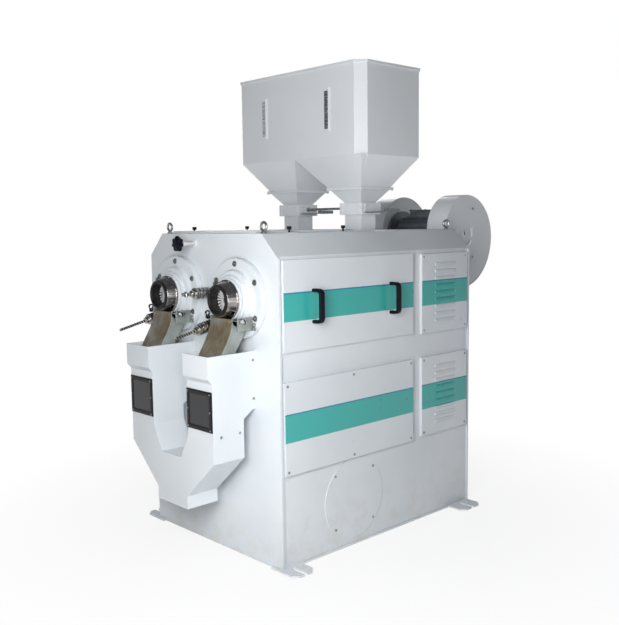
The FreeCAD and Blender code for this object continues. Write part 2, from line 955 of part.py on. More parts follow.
def sight_frame(side):
    # Folded lip down one side of the sight slot.
    x = side * d.unit_x + d.sight_width / 2
    face = d.feed_y - d.bin_depth / 2
    return block((x, face - d.sight_lip, d.sight_low - 12),
                 (x + d.sight_lip_thick, face, d.sight_low + d.sight_length + 12))


def make_feed_hopper():
    low, top = d.bin_low, d.bin_top
    wall = d.bin_wall
    height = top - low
    rim = d.bin_rim
    outer = [plate("XY", [bin_outline(0)], height, 0, d.feed_y, low + height / 2)]
    outer.append(plate("XY", [bin_outline(-rim)], d.bin_rim_height, 0, d.feed_y,
                       top - d.bin_rim_height / 2))
    lip = d.funnel_end / 2 + d.joint_lip
    for side in (-1, 1):
        x = side * d.unit_x
        outer.append(funnel(side, 0, d.funnel_low, low, 0))
        outer.append(block((x - lip, d.feed_y - lip, d.funnel_low),
                           (x + lip, d.feed_y + lip, d.funnel_low + d.joint_thick)))
        outer.append(sight_frame(side))
    inner = [plate("XY", [bin_outline(wall)], height, 0, d.feed_y, low + height / 2 + 1)]
    end = d.funnel_end / 2 - wall
    for side in (-1, 1):
        x = side * d.unit_x
        inner.append(funnel(side, wall, d.funnel_low, low + 1, wall / 2))
        inner.append(block((x - end, d.feed_y - end, d.funnel_low - 1),
                           (x + end, d.feed_y + end, d.funnel_low + 1)))
        face = d.feed_y - d.bin_depth / 2
        half = d.sight_width / 2
        inner.append(block((x - half, face - 1, d.sight_low),
                           (x + half, face + wall + 1, d.sight_low + d.sight_length)))
    node(cut(fuse(outer), inner), "feed_hopper")
    strips = []
    for side in (-1, 1):
        x = side * d.unit_x
        face = d.feed_y - d.bin_depth / 2
        half = d.sight_width / 2
        strips.append(block((x - half, face + 0.5, d.sight_low),
                            (x + half, face + wall, d.sight_low + d.sight_length)))
    node(group(strips), "hopper_sight_strips")


def square(x, wide, deep):
    return (x - wide, d.feed_y - deep), (x + wide, d.feed_y + deep)


def make_necks():
    outer, inner = [], []
    wall = d.bin_wall
    wide, deep = d.neck_width / 2, d.neck_depth / 2
    end = d.funnel_end / 2
    lip = end + d.joint_lip
    housing_top = d.unit_height + d.housing_top
    y = d.feed_y
    for side in (-1, 1):
        x = side * d.unit_x
        outer.append(block((x - lip, y - lip, d.funnel_low - d.joint_thick), (x + lip, y + lip, d.funnel_low)))
        outer.append(frustum(square(x, wide, deep), d.small_funnel_low, square(x, end, end), d.funnel_low))
        box_w, box_d = d.gate_box_width / 2, d.gate_box_depth / 2
        outer.append(block((x - box_w, y - box_d, d.gate_box_low), (x + box_w, y + box_d, d.small_funnel_low)))
        outer.append(block((x - wide, y - deep, housing_top), (x + wide, y + deep, d.gate_box_low)))
        inner.append(frustum(square(x, wide - wall, deep - wall), d.small_funnel_low - 1,
                             square(x, end - wall, end - wall), d.funnel_low + 1))
        inner.append(block((x - wide + wall, y - deep + wall, housing_top - 1),
                           (x + wide - wall, y + deep - wall, d.small_funnel_low)))
        slack = d.gate_slack
        slot = d.gate_width / 2 + slack
        inner.append(block((x - wide - 2 * slack, y - slot, d.gate_level - slack),
                           (x + box_w + 1, y + slot, d.gate_level + d.gate_thick + slack)))
    node(cut(fuse(outer), inner), "feed_necks")
    reach = d.unit_x - d.gate_box_width / 2
    node(rod(d.tie_radius, (-reach, y, d.tie_height), 2 * reach, "X"), "gate_tie_rod")


def make_gate(side, name):
    # Flat slide with an upturned grip, drawn out of the neck.
    x = side * d.unit_x + d.neck_width / 2
    half = d.gate_width / 2
    level = d.gate_level
    thick = d.gate_thick
    end = x + d.gate_length
    flat = block((x, d.feed_y - half, level), (end, d.feed_y + half, level + thick))
    grip = block((end - thick, d.feed_y - half, level), (end, d.feed_y + half, level + d.gate_lip))
    node(fuse([flat, grip]), "slide_gate_" + name)


def make_flanges():
    profile = ring_profile([(d.flange_radius, d.flange_thick), (d.step_one_radius, d.step_one),
                            (d.step_two_radius, d.step_two)], d.flange_bore)
    profile = [(radius, -as_size(reach)) for radius, reach in profile]
    parts = [turned([profile], "Y", side * d.unit_x, front_y, d.unit_height) for side in (-1, 1)]
    node(group(parts), "chamber_flanges")


def flange_reach():
    return d.flange_thick + d.step_one + d.step_two


def make_cone(side):
    back = d.cone_flange
    end = back + d.cone_length
    wall = d.cone_wall
    points = [(d.cone_radius - wall, 0), (d.cone_flange_radius, 0), (d.cone_flange_radius, back),
              (d.cone_radius, back), (d.cone_end_radius, end), (d.ring_bore, end), (d.cone_radius - wall, back)]
    profile = [(x, -as_size(y)) for x, y in points]
    x = side * d.unit_x
    face = front_y - flange_reach()
    cone = turned([profile], "Y", x, face, d.unit_height)
    reach = d.cone_flange_radius
    mouth = block((x - d.cone_mouth_half, face - d.cone_mouth_length, d.unit_height - reach - 1),
                  (x + d.cone_mouth_half, face + 1, d.unit_height - d.cone_radius / 2))
    return cut(cone, [mouth])


def make_cones():
    node(group([make_cone(side) for side in (-1, 1)]), "discharge_cones")


def cone_end():
    return front_y - flange_reach() - d.cone_flange - d.cone_length


def make_rings():
    parts = []
    for side in (-1, 1):
        profile = [(d.ring_bore, 0), (d.ring_radius, 0), (d.ring_radius, -d.ring_length),
                   (d.ring_bore, -d.ring_length)]
        parts.append(turned([profile], "Y", side * d.unit_x, cone_end(), d.unit_height))
    node(group(parts), "end_rings")


def make_flange_bolts():
    parts = []
    for side in (-1, 1):
        for index in range(6):
            angle = math.radians(30 + 60 * index)
            x = side * d.unit_x + d.bolt_circle * math.cos(angle)
            z = d.unit_height + d.bolt_circle * math.sin(angle)
            parts.append(hexagon(d.bolt_radius, (x, front_y - d.flange_thick - d.bolt_height, z),
                                 d.bolt_height, "Y"))
        for index in range(3):
            angle = math.radians(135 - 60 * index)
            x = side * d.unit_x + (d.cone_flange_radius - 4) * math.cos(angle)
            z = d.unit_height + (d.cone_flange_radius - 4) * math.sin(angle)
            face = front_y - flange_reach() - d.cone_flange
            parts.append(hexagon(d.screw_radius, (x, face - d.screw_head, z), d.screw_head, "Y"))
    node(group(parts), "flange_bolts")


def housing_start():
    return front_y + d.housing_front_lead


def make_screens():
    parts = []
    start = inner_front
    length = housing_start() - start
    for side in (-1, 1):
        x = side * d.unit_x
        z = d.unit_height
        outer = d.screen_radius + d.screen_wall
        pieces = [bar(24, outer, (x, start, z), length, "Y")]
        for y in (start, start + length - d.screen_ring_length):
            pieces.append(bar(24, d.screen_ring, (x, y, z), d.screen_ring_length, "Y"))
        half = d.screen_bar / 2
        edge = d.screen_ring - d.screen_ring_length / 2
        pieces.append(block((x - edge, start, z - half), (x + edge, start + length, z + half)))
        pieces.append(block((x - half, start, z - edge), (x + half, start + length, z + edge)))
        bore = bar(24, d.screen_radius, (x, start - 1, z), length + 2, "Y")
        parts.append(cut(fuse(pieces), [bore]))
    node(group(parts), "screen_cages")


def make_feed_housings():
    parts = []
    start = housing_start()
    length = d.housing_length
    half = d.housing_half
    for side in (-1, 1):
        x = side * d.unit_x
        z = d.unit_height
        body = block((x - half, start, z - half), (x + half, start + length, z + d.housing_top))
        bore = bar(24, d.housing_bore + 1, (x, start - 1, z), length - d.wall_thick + 1, "Y")
        neck = bar(16, d.shaft_radius + 2, (x, start, z), length + 1, "Y")
        wide = d.neck_width / 2 - d.bin_wall
        deep = d.neck_depth / 2 - d.bin_wall
        mouth = block((x - wide, d.feed_y - deep, z), (x + wide, d.feed_y + deep, z + d.housing_top + 1))
        parts.append(cut(body, [bore, neck, mouth]))
    node(group(parts), "feed_housings")


def make_bearings():
    parts = []
    face = front_y + d.wall_lead + d.wall_thick
    front = housing_start() + d.housing_length
    for side in (-1, 1):
        bore = d.shaft_radius + d.running_fit
        reach = face - front
        x, z = side * d.unit_x, d.unit_height
        half = d.bearing_flange_half
        length = reach + d.bearing_flange + d.bearing_rear
        barrel = bar(16, d.bearing_radius, (x, front, z), length, "Y")
        flange = block((x - half, face, z - half), (x + half, face + d.bearing_flange, z + half))
        parts.append(cut(fuse([barrel, flange]), [rod(bore, (x, front - 1, z), length + 2, "Y")]))
    node(group(parts), "bearing_housings")


def make_shaft(side, name):
    # Hollow air shaft with a slotted nut at the discharge end.
    x = side * d.unit_x
    z = d.unit_height
    nose = cone_end() - d.ring_length + d.cap_depth
    tube = cut(rod(d.shaft_radius, (x, nose, z), d.shaft_rear - nose, "Y"),
               [rod(d.shaft_bore, (x, nose - 1, z), d.shaft_rear - nose + 2, "Y")])
    cap = rod(d.cap_radius, (x, nose, z), d.cap_length, "Y")
    tools = [rod(d.shaft_bore, (x, nose - 1, z), d.cap_length + 2, "Y")]
    half = d.cap_tooth / 2
    reach = d.cap_radius + 1
    deep = nose + d.cap_length / 2
    for index in range(4):
        arm = block((-reach, nose - 1, -half), (reach, deep, half))
        arm = place_turned(arm, 22.5 + 45 * index, x, z, nose - 1)
        tools.append(arm)
    node(cut(fuse([tube, cap]), tools), "main_shaft_" + name)


def place_turned(item, angle, x, z, y):
    # Turns a block that is centred on the axis about Y and sets it on the unit's axis.
    turn = math.radians(angle)
    reach = item.Length.Value if item.Length.Value else 1
    item.Placement.Rotation = Rotation(Vector(0, 1, 0), -angle)
    length = d.cap_radius + 1
    half = d.cap_tooth / 2
    place(item, x - length * math.cos(turn) + half * math.sin(turn), y,
          z - length * math.sin(turn) - half * math.cos(turn))
    return item


def make_roller(side, name):
    x = side * d.unit_x
    z = d.unit_height
    front = front_y - d.roller_front
    end = housing_start()
    length = end - front
    drum = [rod(d.roller_radius, (x, front, z), length, "Y")]
    half = d.roller_rib_width / 2
    reach = d.roller_radius + d.roller_rib
    drum.append(block((x - reach, front + d.roller_front, z - half), (x + reach, end, z + half)))
    bore = rod(d.shaft_radius, (x, front - 1, z), length + 2, "Y")
    roller = cut(fuse(drum), [bore])
    screw = make_flight(x, end, z)
    node(group([roller, screw]), "milling_roller_" + name)


def make_flight(x, start, z):
    # Cut-flight feed screw: flat blades set one after another round a sleeve.
    length = d.housing_length - d.wall_thick - 2
    sleeve = cut(bar(16, d.flight_root, (x, start + 1, z), length, "Y"),
                 [rod(d.shaft_radius, (x, start, z), length + 2, "Y")])
    blades = []
    count = sizes["flight_blades"]
    reach = d.roller_radius - 1
    for index in range(count):
        blade = doc.addObject("Part::Box", "Blade")
        bind(blade, "Length", d.flight_width)
        bind(blade, "Width", d.flight_thick)
        bind(blade, "Height", reach - d.shaft_radius - 2)
        angle = 360.0 * sizes["flight_turns"] * index / count
        turn = Rotation(Vector(0, 1, 0), angle)
        blade.Placement.Rotation = turn * Rotation(Vector(0, 0, 1), 25)
        side = math.sin(math.radians(angle)) * (d.shaft_radius + 2)
        rise = math.cos(math.radians(angle)) * (d.shaft_radius + 2)
        shift = turn.multVec(Vector(1, 0, 0))
        half = d.flight_width / 2
        y = start + 12 + (length - 46) * index / (count - 1)
        blades.append(place(blade, x + side - half * shift.x, y, z + rise - half * shift.z))
    return fuse([sleeve] + blades)





def pulley_start():
    return front_y + d.pulley_lead


def make_pulley(side, name):
    x, z = side * d.unit_x, d.unit_height
    wheel = bar(32, d.pulley_radius, (x, pulley_start(), z), d.pulley_width, "Y")
    bore = rod(d.shaft_radius, (x, pulley_start() - 1, z), d.pulley_width + 2, "Y")
    node(cut(wheel, [bore]), "driven_pulley_" + name)


def belt_loop(grow):
    # Two pulley arcs joined by their outer tangents.
    upper, lower = d.pulley_radius + grow, d.motor_pulley_radius + grow
    apart = d.unit_height - d.motor_height
    lean = (upper - lower) / apart
    level = root(1 - lean * lean)
    high, low = d.unit_height, d.motor_height
    return [corner(upper * level, high - upper * lean),
            corner(-upper * level, high - upper * lean, upper, (0, high)),
            corner(-lower * level, low - lower * lean),
            corner(lower * level, low - lower * lean, lower, (0, low))]


def make_belts():
    parts = []
    slack = d.belt_slack
    width = d.pulley_width - 2 * d.belt_edge
    middle = pulley_start() + d.pulley_width / 2
    for side in (-1, 1):
        loops = [belt_loop(slack + d.belt_thick), belt_loop(slack)]
        parts.append(plate("XZ", loops, width, side * d.unit_x, middle))
    node(group(parts), "drive_belts")


def make_motors():
    parts = []
    z = d.motor_height
    bell = d.motor_bell_length
    foot = d.motor_foot
    for side in (-1, 1):
        x = side * d.unit_x
        start = front_y + d.motor_front_lead
        length = d.motor_length
        pieces = [bar(24, d.motor_bell, (x, start, z), length, "Y")]
        pieces.append(bar(24, d.motor_radius, (x, start + bell, z), length - 2 * bell, "Y"))
        low = z - d.motor_radius - foot
        half = d.motor_foot_half
        for lead in foot_leads():
            y = front_y + lead
            pieces.append(block((x - half, y, low), (x + half, y + d.motor_foot_width, low + foot)))
            pieces.append(block((x - half / 2, y, low), (x + half / 2, y + d.motor_foot_width, z)))
        bore = d.motor_shaft + d.running_fit
        tool = rod(bore, (x, start + length - bell, z), bell + 1, "Y")
        parts.append(cut(fuse(pieces), [tool]))
    node(group(parts), "main_motors")


def make_motor_rotor(side, name):
    x = side * d.unit_x
    rear = front_y + d.motor_front_lead + d.motor_length
    start = rear - d.motor_bell_length + d.fit
    end = pulley_start() + d.pulley_width
    stub = rod(d.motor_shaft, (x, start, d.motor_height), end - start, "Y")
    wheel = bar(24, d.motor_pulley_radius, (x, pulley_start(), d.motor_height), d.pulley_width, "Y")
    node(fuse([stub, wheel]), "motor_rotor_" + name)


def make_bran_hopper():
    wall = d.bran_wall
    wide = skin_x - d.shell_wall
    front = front_y + d.bran_front_lead
    rear = front_y + d.bran_rear_lead
    middle = front_y + d.round_cover_lead
    neck = d.bran_neck_depth / 2
    half = d.bran_neck_half
    top = ((-wide, front), (wide, rear))
    low = ((-half, middle - neck), (half, middle + neck))
    inner_top = ((wall - wide, front + wall), (wide - wall, rear - wall))
    inner_low = ((wall - half, middle - neck + wall), (half - wall, middle + neck - wall))
    z = d.round_cover_height
    outer = [frustum(low, d.bran_low, top, d.bran_top)]
    outer.append(block((-half, middle - neck, z), (half, middle + neck, d.bran_low)))
    outer.append(rod(d.duct_radius, (-wide, middle, z), 2 * wide, "X"))
    inner = [frustum(inner_low, d.bran_low - 1, inner_top, d.bran_top + 1)]
    inner.append(block((wall - half, middle - neck + wall, z), (half - wall, middle + neck - wall, d.bran_low)))
    inner.append(rod(d.duct_radius - wall, (-wide - 1, middle, z), 2 * wide + 2, "X"))
    node(cut(fuse(outer), inner), "bran_hopper")


def hopper_outline():
    a, b = d.leg_outer, d.leg_inner
    top = d.hopper_top
    right = [(d.throat_half, d.throat_low), (d.throat_half, d.throat_height), (a, d.waist_height),
             (a, top), (b, top), (b, d.notch_height), (d.notch_half, d.notch_low)]
    return right + [(-as_size(x), z) for x, z in reversed(right)]


def hopper_walls(wall):
    # Amount by which each edge of the outline moves inwards; the mouths and outlet stay open.
    right = [wall, wall, wall, -1, wall, wall]
    return right + [wall] + list(reversed(right)) + [-1]


def back_tool(gap):
    # Space behind the hopper's lower part, seen from the side.
    step, reach = d.back_step, d.back_reach
    high = d.back_height + gap
    low = d.throat_low - 2
    points = [(front_y + 1, low), (front_y + 1, high), (front_y - step - gap, high),
              (front_y - reach - gap, high - d.back_slope), (front_y - reach - gap, low)]
    return plate("YZ", [points], 2 * d.leg_outer + 2)


def hood(side, gap, top):
    a, b = d.leg_outer - gap, d.leg_inner + gap
    reach, face = d.hood_reach - gap, d.hopper_reach - gap
    points = [(front_y - face + 1, d.hood_low - d.hood_slope), (front_y - face, d.hood_low - d.hood_slope),
              (front_y - reach, d.hood_low), (front_y - reach, top), (front_y - face + 1, top)]
    middle = side * (a + b) / 2
    return plate("YZ", [points], a - b, middle)


def make_collector():
    wall = d.hopper_wall
    reach = d.hopper_reach
    outline = hopper_outline()
    outer = [cut(plate("XZ", [outline], reach, 0, front_y - reach / 2), [back_tool(0)])]
    inner_loop = inset(outline, hopper_walls(wall))
    inner = [cut(plate("XZ", [inner_loop], reach - 2 * wall, 0, front_y - reach / 2), [back_tool(wall)])]
    for side in (-1, 1):
        outer.append(hood(side, 0, d.hopper_top))
        inner.append(hood(side, wall, d.hopper_top + 1))
        low_x, high_x = window_span(side)
        edge = d.window_frame
        inner.append(block((low_x + edge, front_y - reach - 1, d.window_low + edge),
                           (high_x - edge, front_y - reach + wall + 1, d.window_low + d.window_height - edge)))
    node(cut(fuse(outer), inner), "collecting_hopper")


def window_span(side):
    low = d.leg_inner + d.window_inset
    high = low + d.window_width
    return (low, high) if side > 0 else (-high, -low)


def make_windows():
    frames, panes = [], []
    edge = d.window_frame
    face = front_y - d.hopper_reach
    low_z, high_z = d.window_low, d.window_low + d.window_height
    for side in (-1, 1):
        low_x, high_x = window_span(side)
        outer = rectangle((low_x, low_z), (high_x, high_z))
        inner = rectangle((low_x + edge, low_z + edge), (high_x - edge, high_z - edge))
        thick = d.window_thick
        frames.append(plate("XZ", [outer, inner], thick, 0, face - thick / 2))
        panes.append(plate("XZ", [inner], d.glass_thick, 0, face - d.glass_thick / 2 + 1))
    node(group(frames), "window_frames")
    node(group(panes), "hopper_windows")


def cheek_profile():
    # Side of the chute, with an ear round the pivot.
    f = front_y
    return [(f - 31, 978), (f - 31, 1031), (f - 49, 1031), (f - 51, 1050), (f - 88, 1057),
            (f - 107, 1057), (f - 107, 1038), (f - 98, 1030), (f - 114, 995), (f - 150, 906),
            (f - 165, 868), (f - 110, 868), (f - 88, 909)]


def make_spout(side):
    x = side * d.unit_x
    half, wall = d.spout_half, d.spout_wall
    f = front_y
    parts = []
    for across in (-1, 1):
        parts.append(plate("YZ", [cheek_profile()], wall, x + across * (half - wall / 2)))
    front = [(f - 97, 1030), (f - 114, 995), (f - 150, 906), (f - 165, 868),
             (f - 162, 868), (f - 147, 906), (f - 111, 995), (f - 94, 1030)]
    back = [(f - 31, 1006), (f - 34, 1006), (f - 91, 910), (f - 113, 868),
            (f - 110, 868), (f - 88, 909), (f - 31, 1005)]
    for loop in (front, back):
        parts.append(plate("YZ", [loop], 2 * half - wall, x))
    y, z = f - d.pivot_forward, d.pivot_height
    bore = d.pivot_radius + d.running_fit
    hole = rod(bore, (x - half - 1, y, z), 2 * half + 2, "X")
    arm = x + d.bracket_offset
    thick = d.bracket_thick
    stay = block((arm, y - 12, z - 44), (arm + thick, f - d.flange_thick, z + 12))
    bracket = cut(stay, [rod(bore, (arm - 1, y, z), thick + 2, "X")])
    return [cut(fuse(parts), [hole]), bracket]


def make_spouts():
    node(group(make_spout(-1) + make_spout(1)), "discharge_spouts")


def lever_start(side):
    # Rear end of the sloping lever rod.
    return (side * d.unit_x - d.lever_offset, front_y - d.pivot_forward + d.lever_back,
            d.pivot_height - d.lever_drop)


def lever_arm(side):
    # Cranked arm from the pivot back and down to the rod.
    y, z = front_y - d.pivot_forward, d.pivot_height
    start = lever_start(side)
    boss, arm = d.lever_boss, d.lever_arm
    low = start[2] - d.lever_rod - 2
    points = [(y - boss, z - d.pivot_radius - 1), (start[1] - arm / 2, z - d.pivot_radius - 1),
              (start[1] - arm / 2, low), (start[1] + arm / 2, low), (start[1] + arm / 2, z + boss),
              (y - boss, z + boss)]
    return plate("YZ", [points], d.lever_thick, start[0])


def make_lever(side, name):
    x = side * d.unit_x
    y, z = front_y - d.pivot_forward, d.pivot_height
    radius = d.pivot_radius
    left = x - d.lever_offset - d.lever_thick / 2
    parts = [rod(radius, (left, y, z), d.lever_offset + d.lever_thick / 2 + d.pivot_end, "X")]
    parts.append(lever_arm(side))
    start = lever_start(side)
    arm = doc.addObject("Part::Cylinder", "LeverRod")
    bind(arm, "Radius", d.lever_rod)
    bind(arm, "Height", d.lever_length)
    tilt(arm, Vector(1, 0, 0), 90 + d.lever_slope)
    parts.append(place(arm, *start))
    flap = doc.addObject("Part::Box", "Flap")
    bind(flap, "Length", 2 * d.flap_half)
    bind(flap, "Width", d.flap_reach)
    bind(flap, "Height", d.flap_thick)
    tilt(flap, Vector(-1, 0, 0), d.flap_slope)
    parts.append(place(flap, x - d.flap_half, y, z - d.flap_thick / 2))
    outer = d.lever_ring + d.lever_ring_wire
    level = z + d.lever_boss + outer - 2
    thick = 2 * d.lever_ring_wire
    hook = bar(12, outer, (start[0] - thick / 2, y, level), thick, "X")
    eye = bar(12, d.lever_ring - d.lever_ring_wire, (start[0] - thick / 2 - 1, y, level), thick + 2, "X")
    parts.append(cut(hook, [eye]))
    first = x + d.bracket_offset + d.bracket_thick + d.fit
    parts.append(hexagon(d.nut_radius, (first, y, z), d.nut_length, "X"))
    parts.append(hexagon(d.nut_radius, (x + d.pivot_end - d.nut_length - 3, y, z), d.nut_length, "X"))
    node(fuse(parts), "pressure_lever_" + name)


def disc_stack(count, bore):
    # Discs held close together, with the narrower ring of their clamp behind, along Z from zero.
    length = (d.disc_thick + d.disc_groove) * count
    parts = [bar(24, d.disc_radius, (0, 0, 0), length, "Z"),
             bar(12, d.collar_radius, (0, 0, 0), length + d.collar_length, "Z")]
    if not bore:
        return fuse(parts)
    return cut(fuse(parts), [rod(bore, (0, 0, -1), length + d.collar_length + 2, "Z")])


def make_weights(side, name, count):
    # Stack on the lever rod, in front of the pivot at rest.
    start = lever_start(side)
    body = disc_stack(count, d.lever_rod + d.running_fit)
    tilt(body, Vector(1, 0, 0), 90 + d.lever_slope)
    gap = d.weight_gap
    place(body, start[0], start[1] - gap * cosine(d.lever_slope), start[2] - gap * sine(d.lever_slope))
    node(body, "lever_weights_" + name)


def make_peg():
    # Spare discs held on a short peg between the two units.
    count = sizes["disc_count"]
    discs = disc_stack(count, None)
    discs.Placement.Rotation = Rotation(Vector(1, 0, 0), 90)
    place(discs, 0, front_y - d.peg_flange, d.peg_height)
    foot = bar(16, d.peg_flange_radius, (0, front_y - d.peg_flange, d.peg_height), d.peg_flange, "Y")
    peg = bar(12, d.peg_radius, (0, front_y - d.peg_length, d.peg_height), d.peg_length, "Y")
    node(fuse([foot, peg, discs]), "weight_peg")


def scroll_outline(gap, mouth_y):
    # Three arcs of growing radius round the shaft, then the straight mouth towards the body.
    step = d.scroll_step
    first = d.scroll_radius - gap
    second, third = first + step, first + 2 * step
    half = step / 2
    tongue_z = -(d.fan_mouth_top + gap)
    down = tongue_z - half
    tongue_y = half - root(first * first - down * down)
    bottom = -(half + third)
    return [corner(mouth_y, bottom), corner(-half, bottom),
            corner(half + second, -half, third, (-half, -half)),
            corner(half, half + first, second, (half, -half)),
            corner(tongue_y, tongue_z, first, (half, half)),
            corner(mouth_y, tongue_z)]


def make_fan_housing(side, name):
    x = side * d.unit_x
    wall = d.fan_wall
    y, z = d.fan_y, d.fan_height
    mouth = rear_y - y
    outer = plate("YZ", [scroll_outline(0, mouth)], d.fan_width, x, y, z)
    inner = plate("YZ", [scroll_outline(wall, mouth - 1)], d.fan_width - 2 * wall, x, y, z)
    # Air enters on the motor's side, round the shaft.
    face = x - side * (d.fan_width / 2)
    start = face - 1 if side > 0 else face - wall - 1
    inlet = bar(32, d.inlet_radius, (start, y, z), wall + 2, "X")
    node(cut(outer, [inner, inlet]), "fan_housing_" + name)


def impeller(side):
    x = side * d.unit_x
    y, z = d.fan_y, d.fan_height
    inner_face = x - side * (d.fan_width / 2 - d.fan_wall - 6)
    thick = d.impeller_disc
    start = inner_face if side > 0 else inner_face - thick
    parts = [bar(24, d.impeller_radius, (start, y, z), thick, "X")]
    hub_length = d.blade_height / 2
    start = inner_face if side > 0 else inner_face - hub_length
    parts.append(bar(12, d.impeller_hub, (start, y, z), hub_length, "X"))
    for index in range(sizes["blade_count"]):
        angle = 360.0 / sizes["blade_count"] * index
        blade = doc.addObject("Part::Box", "Blade")
        bind(blade, "Length", d.blade_height)
        bind(blade, "Width", d.blade_length)
        bind(blade, "Height", d.blade_thick)
        lean = Rotation(Vector(1, 0, 0), angle)
        blade.Placement.Rotation = lean * Rotation(Vector(1, 0, 0), -25)
        reach = d.impeller_radius - d.blade_length + 3
        turn = math.radians(angle)
        start = inner_face if side > 0 else inner_face - d.blade_height
        parts.append(place(blade, start, y + reach * math.cos(turn), z + reach * math.sin(turn)))
    return parts


def make_fan_rotor():
    reach = d.unit_x - d.fan_width / 2 + d.fan_wall + 6 + d.blade_height / 2
    parts = [rod(d.fan_shaft, (-reach, d.fan_y, d.fan_height), 2 * reach, "X")]
    parts += impeller(-1) + impeller(1)
    node(fuse(parts), "fan_rotor")


def make_fan_motor():
    half = d.fan_motor_length / 2
    y, z = d.fan_y, d.fan_height
    side_gap = d.unit_x - d.fan_width / 2
    flange = d.fan_motor_flange_thick
    parts = [bar(16, d.fan_motor_radius, (-half, y, z), 2 * half, "X")]
    for side in (-1, 1):
        start = side_gap - flange if side > 0 else -side_gap
        parts.append(bar(24, d.fan_motor_flange, (start, y, z), flange, "X"))
        first, last = (half, side_gap) if side > 0 else (-side_gap, -half)
        parts.append(bar(16, d.fan_motor_radius - 14, (first, y, z), last - first, "X"))
    body = doc.addObject("PartDesign::Body", "Fins")
    body.AllowCompound = True
    pad = body.newObject("PartDesign::Pad", "Fin")
    reach = d.fan_motor_radius + d.fin_height
    loop = rectangle((d.fan_motor_radius - 5, -d.fin_thick / 2), (reach, d.fin_thick / 2))
    sketch = sketch_in(body, "YZ", [loop])
    pad.Profile = sketch
    pad.SideType = "Symmetric"
    bind(pad, "Length", 2 * half - 20)
    around = body.newObject("PartDesign::PolarPattern", "AllFins")
    around.Originals = [pad]
    around.Axis = ([item for item in body.Origin.OriginFeatures if item.Role == "X_Axis"][0], [""])
    around.Angle = 360
    bind(around, "Occurrences", d.fin_count)
    body.Tip = around
    parts.append(place(body, 0, y, z))
    top = d.fan_height - d.shelf_drop
    for side in (-1, 1):
        x = side * (half - 50)
        parts.append(block((x - 15, y - 90, top), (x + 15, y + 90, top + 12)))
        parts.append(block((x - 15, y - 50, top), (x + 15, y + 50, z)))
    bore = rod(d.fan_shaft + d.running_fit, (-side_gap - 1, y, z), 2 * side_gap + 2, "X")
    node(cut(fuse(parts), [bore]), "fan_motor")


def make_fan_shelf():
    top = d.fan_height - d.shelf_drop
    thick = d.shelf_thick
    half = d.shelf_half
    parts = [block((-half, rear_y, top - thick), (half, rear_y + d.shelf_length, top))]
    low = top - thick
    for side in (-1, 1):
        loop = [(rear_y, low), (rear_y, low - d.gusset_height), (rear_y + thick, low - d.gusset_height),
                (rear_y + d.gusset_length, low - thick), (rear_y + d.gusset_length, low)]
        parts.append(plate("YZ", [loop], thick, side * (half - thick)))
    node(fuse(parts), "fan_shelf")


def make_star():
    x, z = -d.star_x, d.star_height
    front = front_y - d.star_forward
    spindle = rod(d.spindle_radius, (x, front - d.star_thick / 2, z),
                  d.star_forward + d.star_thick / 2 + d.spindle_inside, "Y")
    lobes = [rod(d.star_radius, (x, front - d.star_thick, z), d.star_thick, "Y")]
    for index in range(sizes["star_lobes"]):
        angle = 2 * math.pi / sizes["star_lobes"] * index
        lobes.append(bar(8, d.star_lobe, (x + d.star_radius * math.cos(angle), front - d.star_thick,
                                          z + d.star_radius * math.sin(angle)), d.star_thick, "Y"))
    node(fuse(lobes + [spindle]), "star_knob")


def make_all():
    make_base_frame()
    make_shell()
    make_front_plate()
    make_rear_plate()
    make_bearing_wall()
    make_round_covers()
    make_top_cover()
    make_eyes()
    make_feed_hopper()
    make_necks()
    make_flanges()
    make_cones()
    make_rings()
    make_spouts()
    make_flange_bolts()
    make_screens()
    make_feed_housings()
    make_bearings()
    make_belts()
    make_motors()
    make_bran_hopper()
    make_collector()
    make_windows()
    make_peg()
    make_fan_rotor()
    make_fan_motor()
    make_fan_shelf()
    make_star()
    for side, name in ((-1, "left"), (1, "right")):
        make_panels(side, name)
        make_doors(side, name)
        make_gate(side, name)
        make_shaft(side, name)
        make_roller(side, name)
        make_pulley(side, name)
        make_motor_rotor(side, name)
        make_lever(side, name)
        make_fan_housing(side, name)
    make_weights(-1, "left", sizes["light_disc_count"])
    make_weights(1, "right", sizes["disc_count"])


def check_all():
    faults = []
    for item in doc.Objects:
        if "Invalid" in item.State or "Error" in item.State:
            faults.append(item.Label)
    for item in nodes:
        if item.Shape.isNull() or not item.Shape.isValid():
            faults.append(item.Label + " shape")
    if faults:
        raise RuntimeError("failed: " + ", ".join(faults))


def export_all():
    os.makedirs("parts", exist_ok=True)
    for item in nodes:
        item.Shape.exportStep("parts/" + item.Label + ".step")


make_all()
doc.recompute()
check_all()
export_all()
print(len(nodes), "sub-parts written")
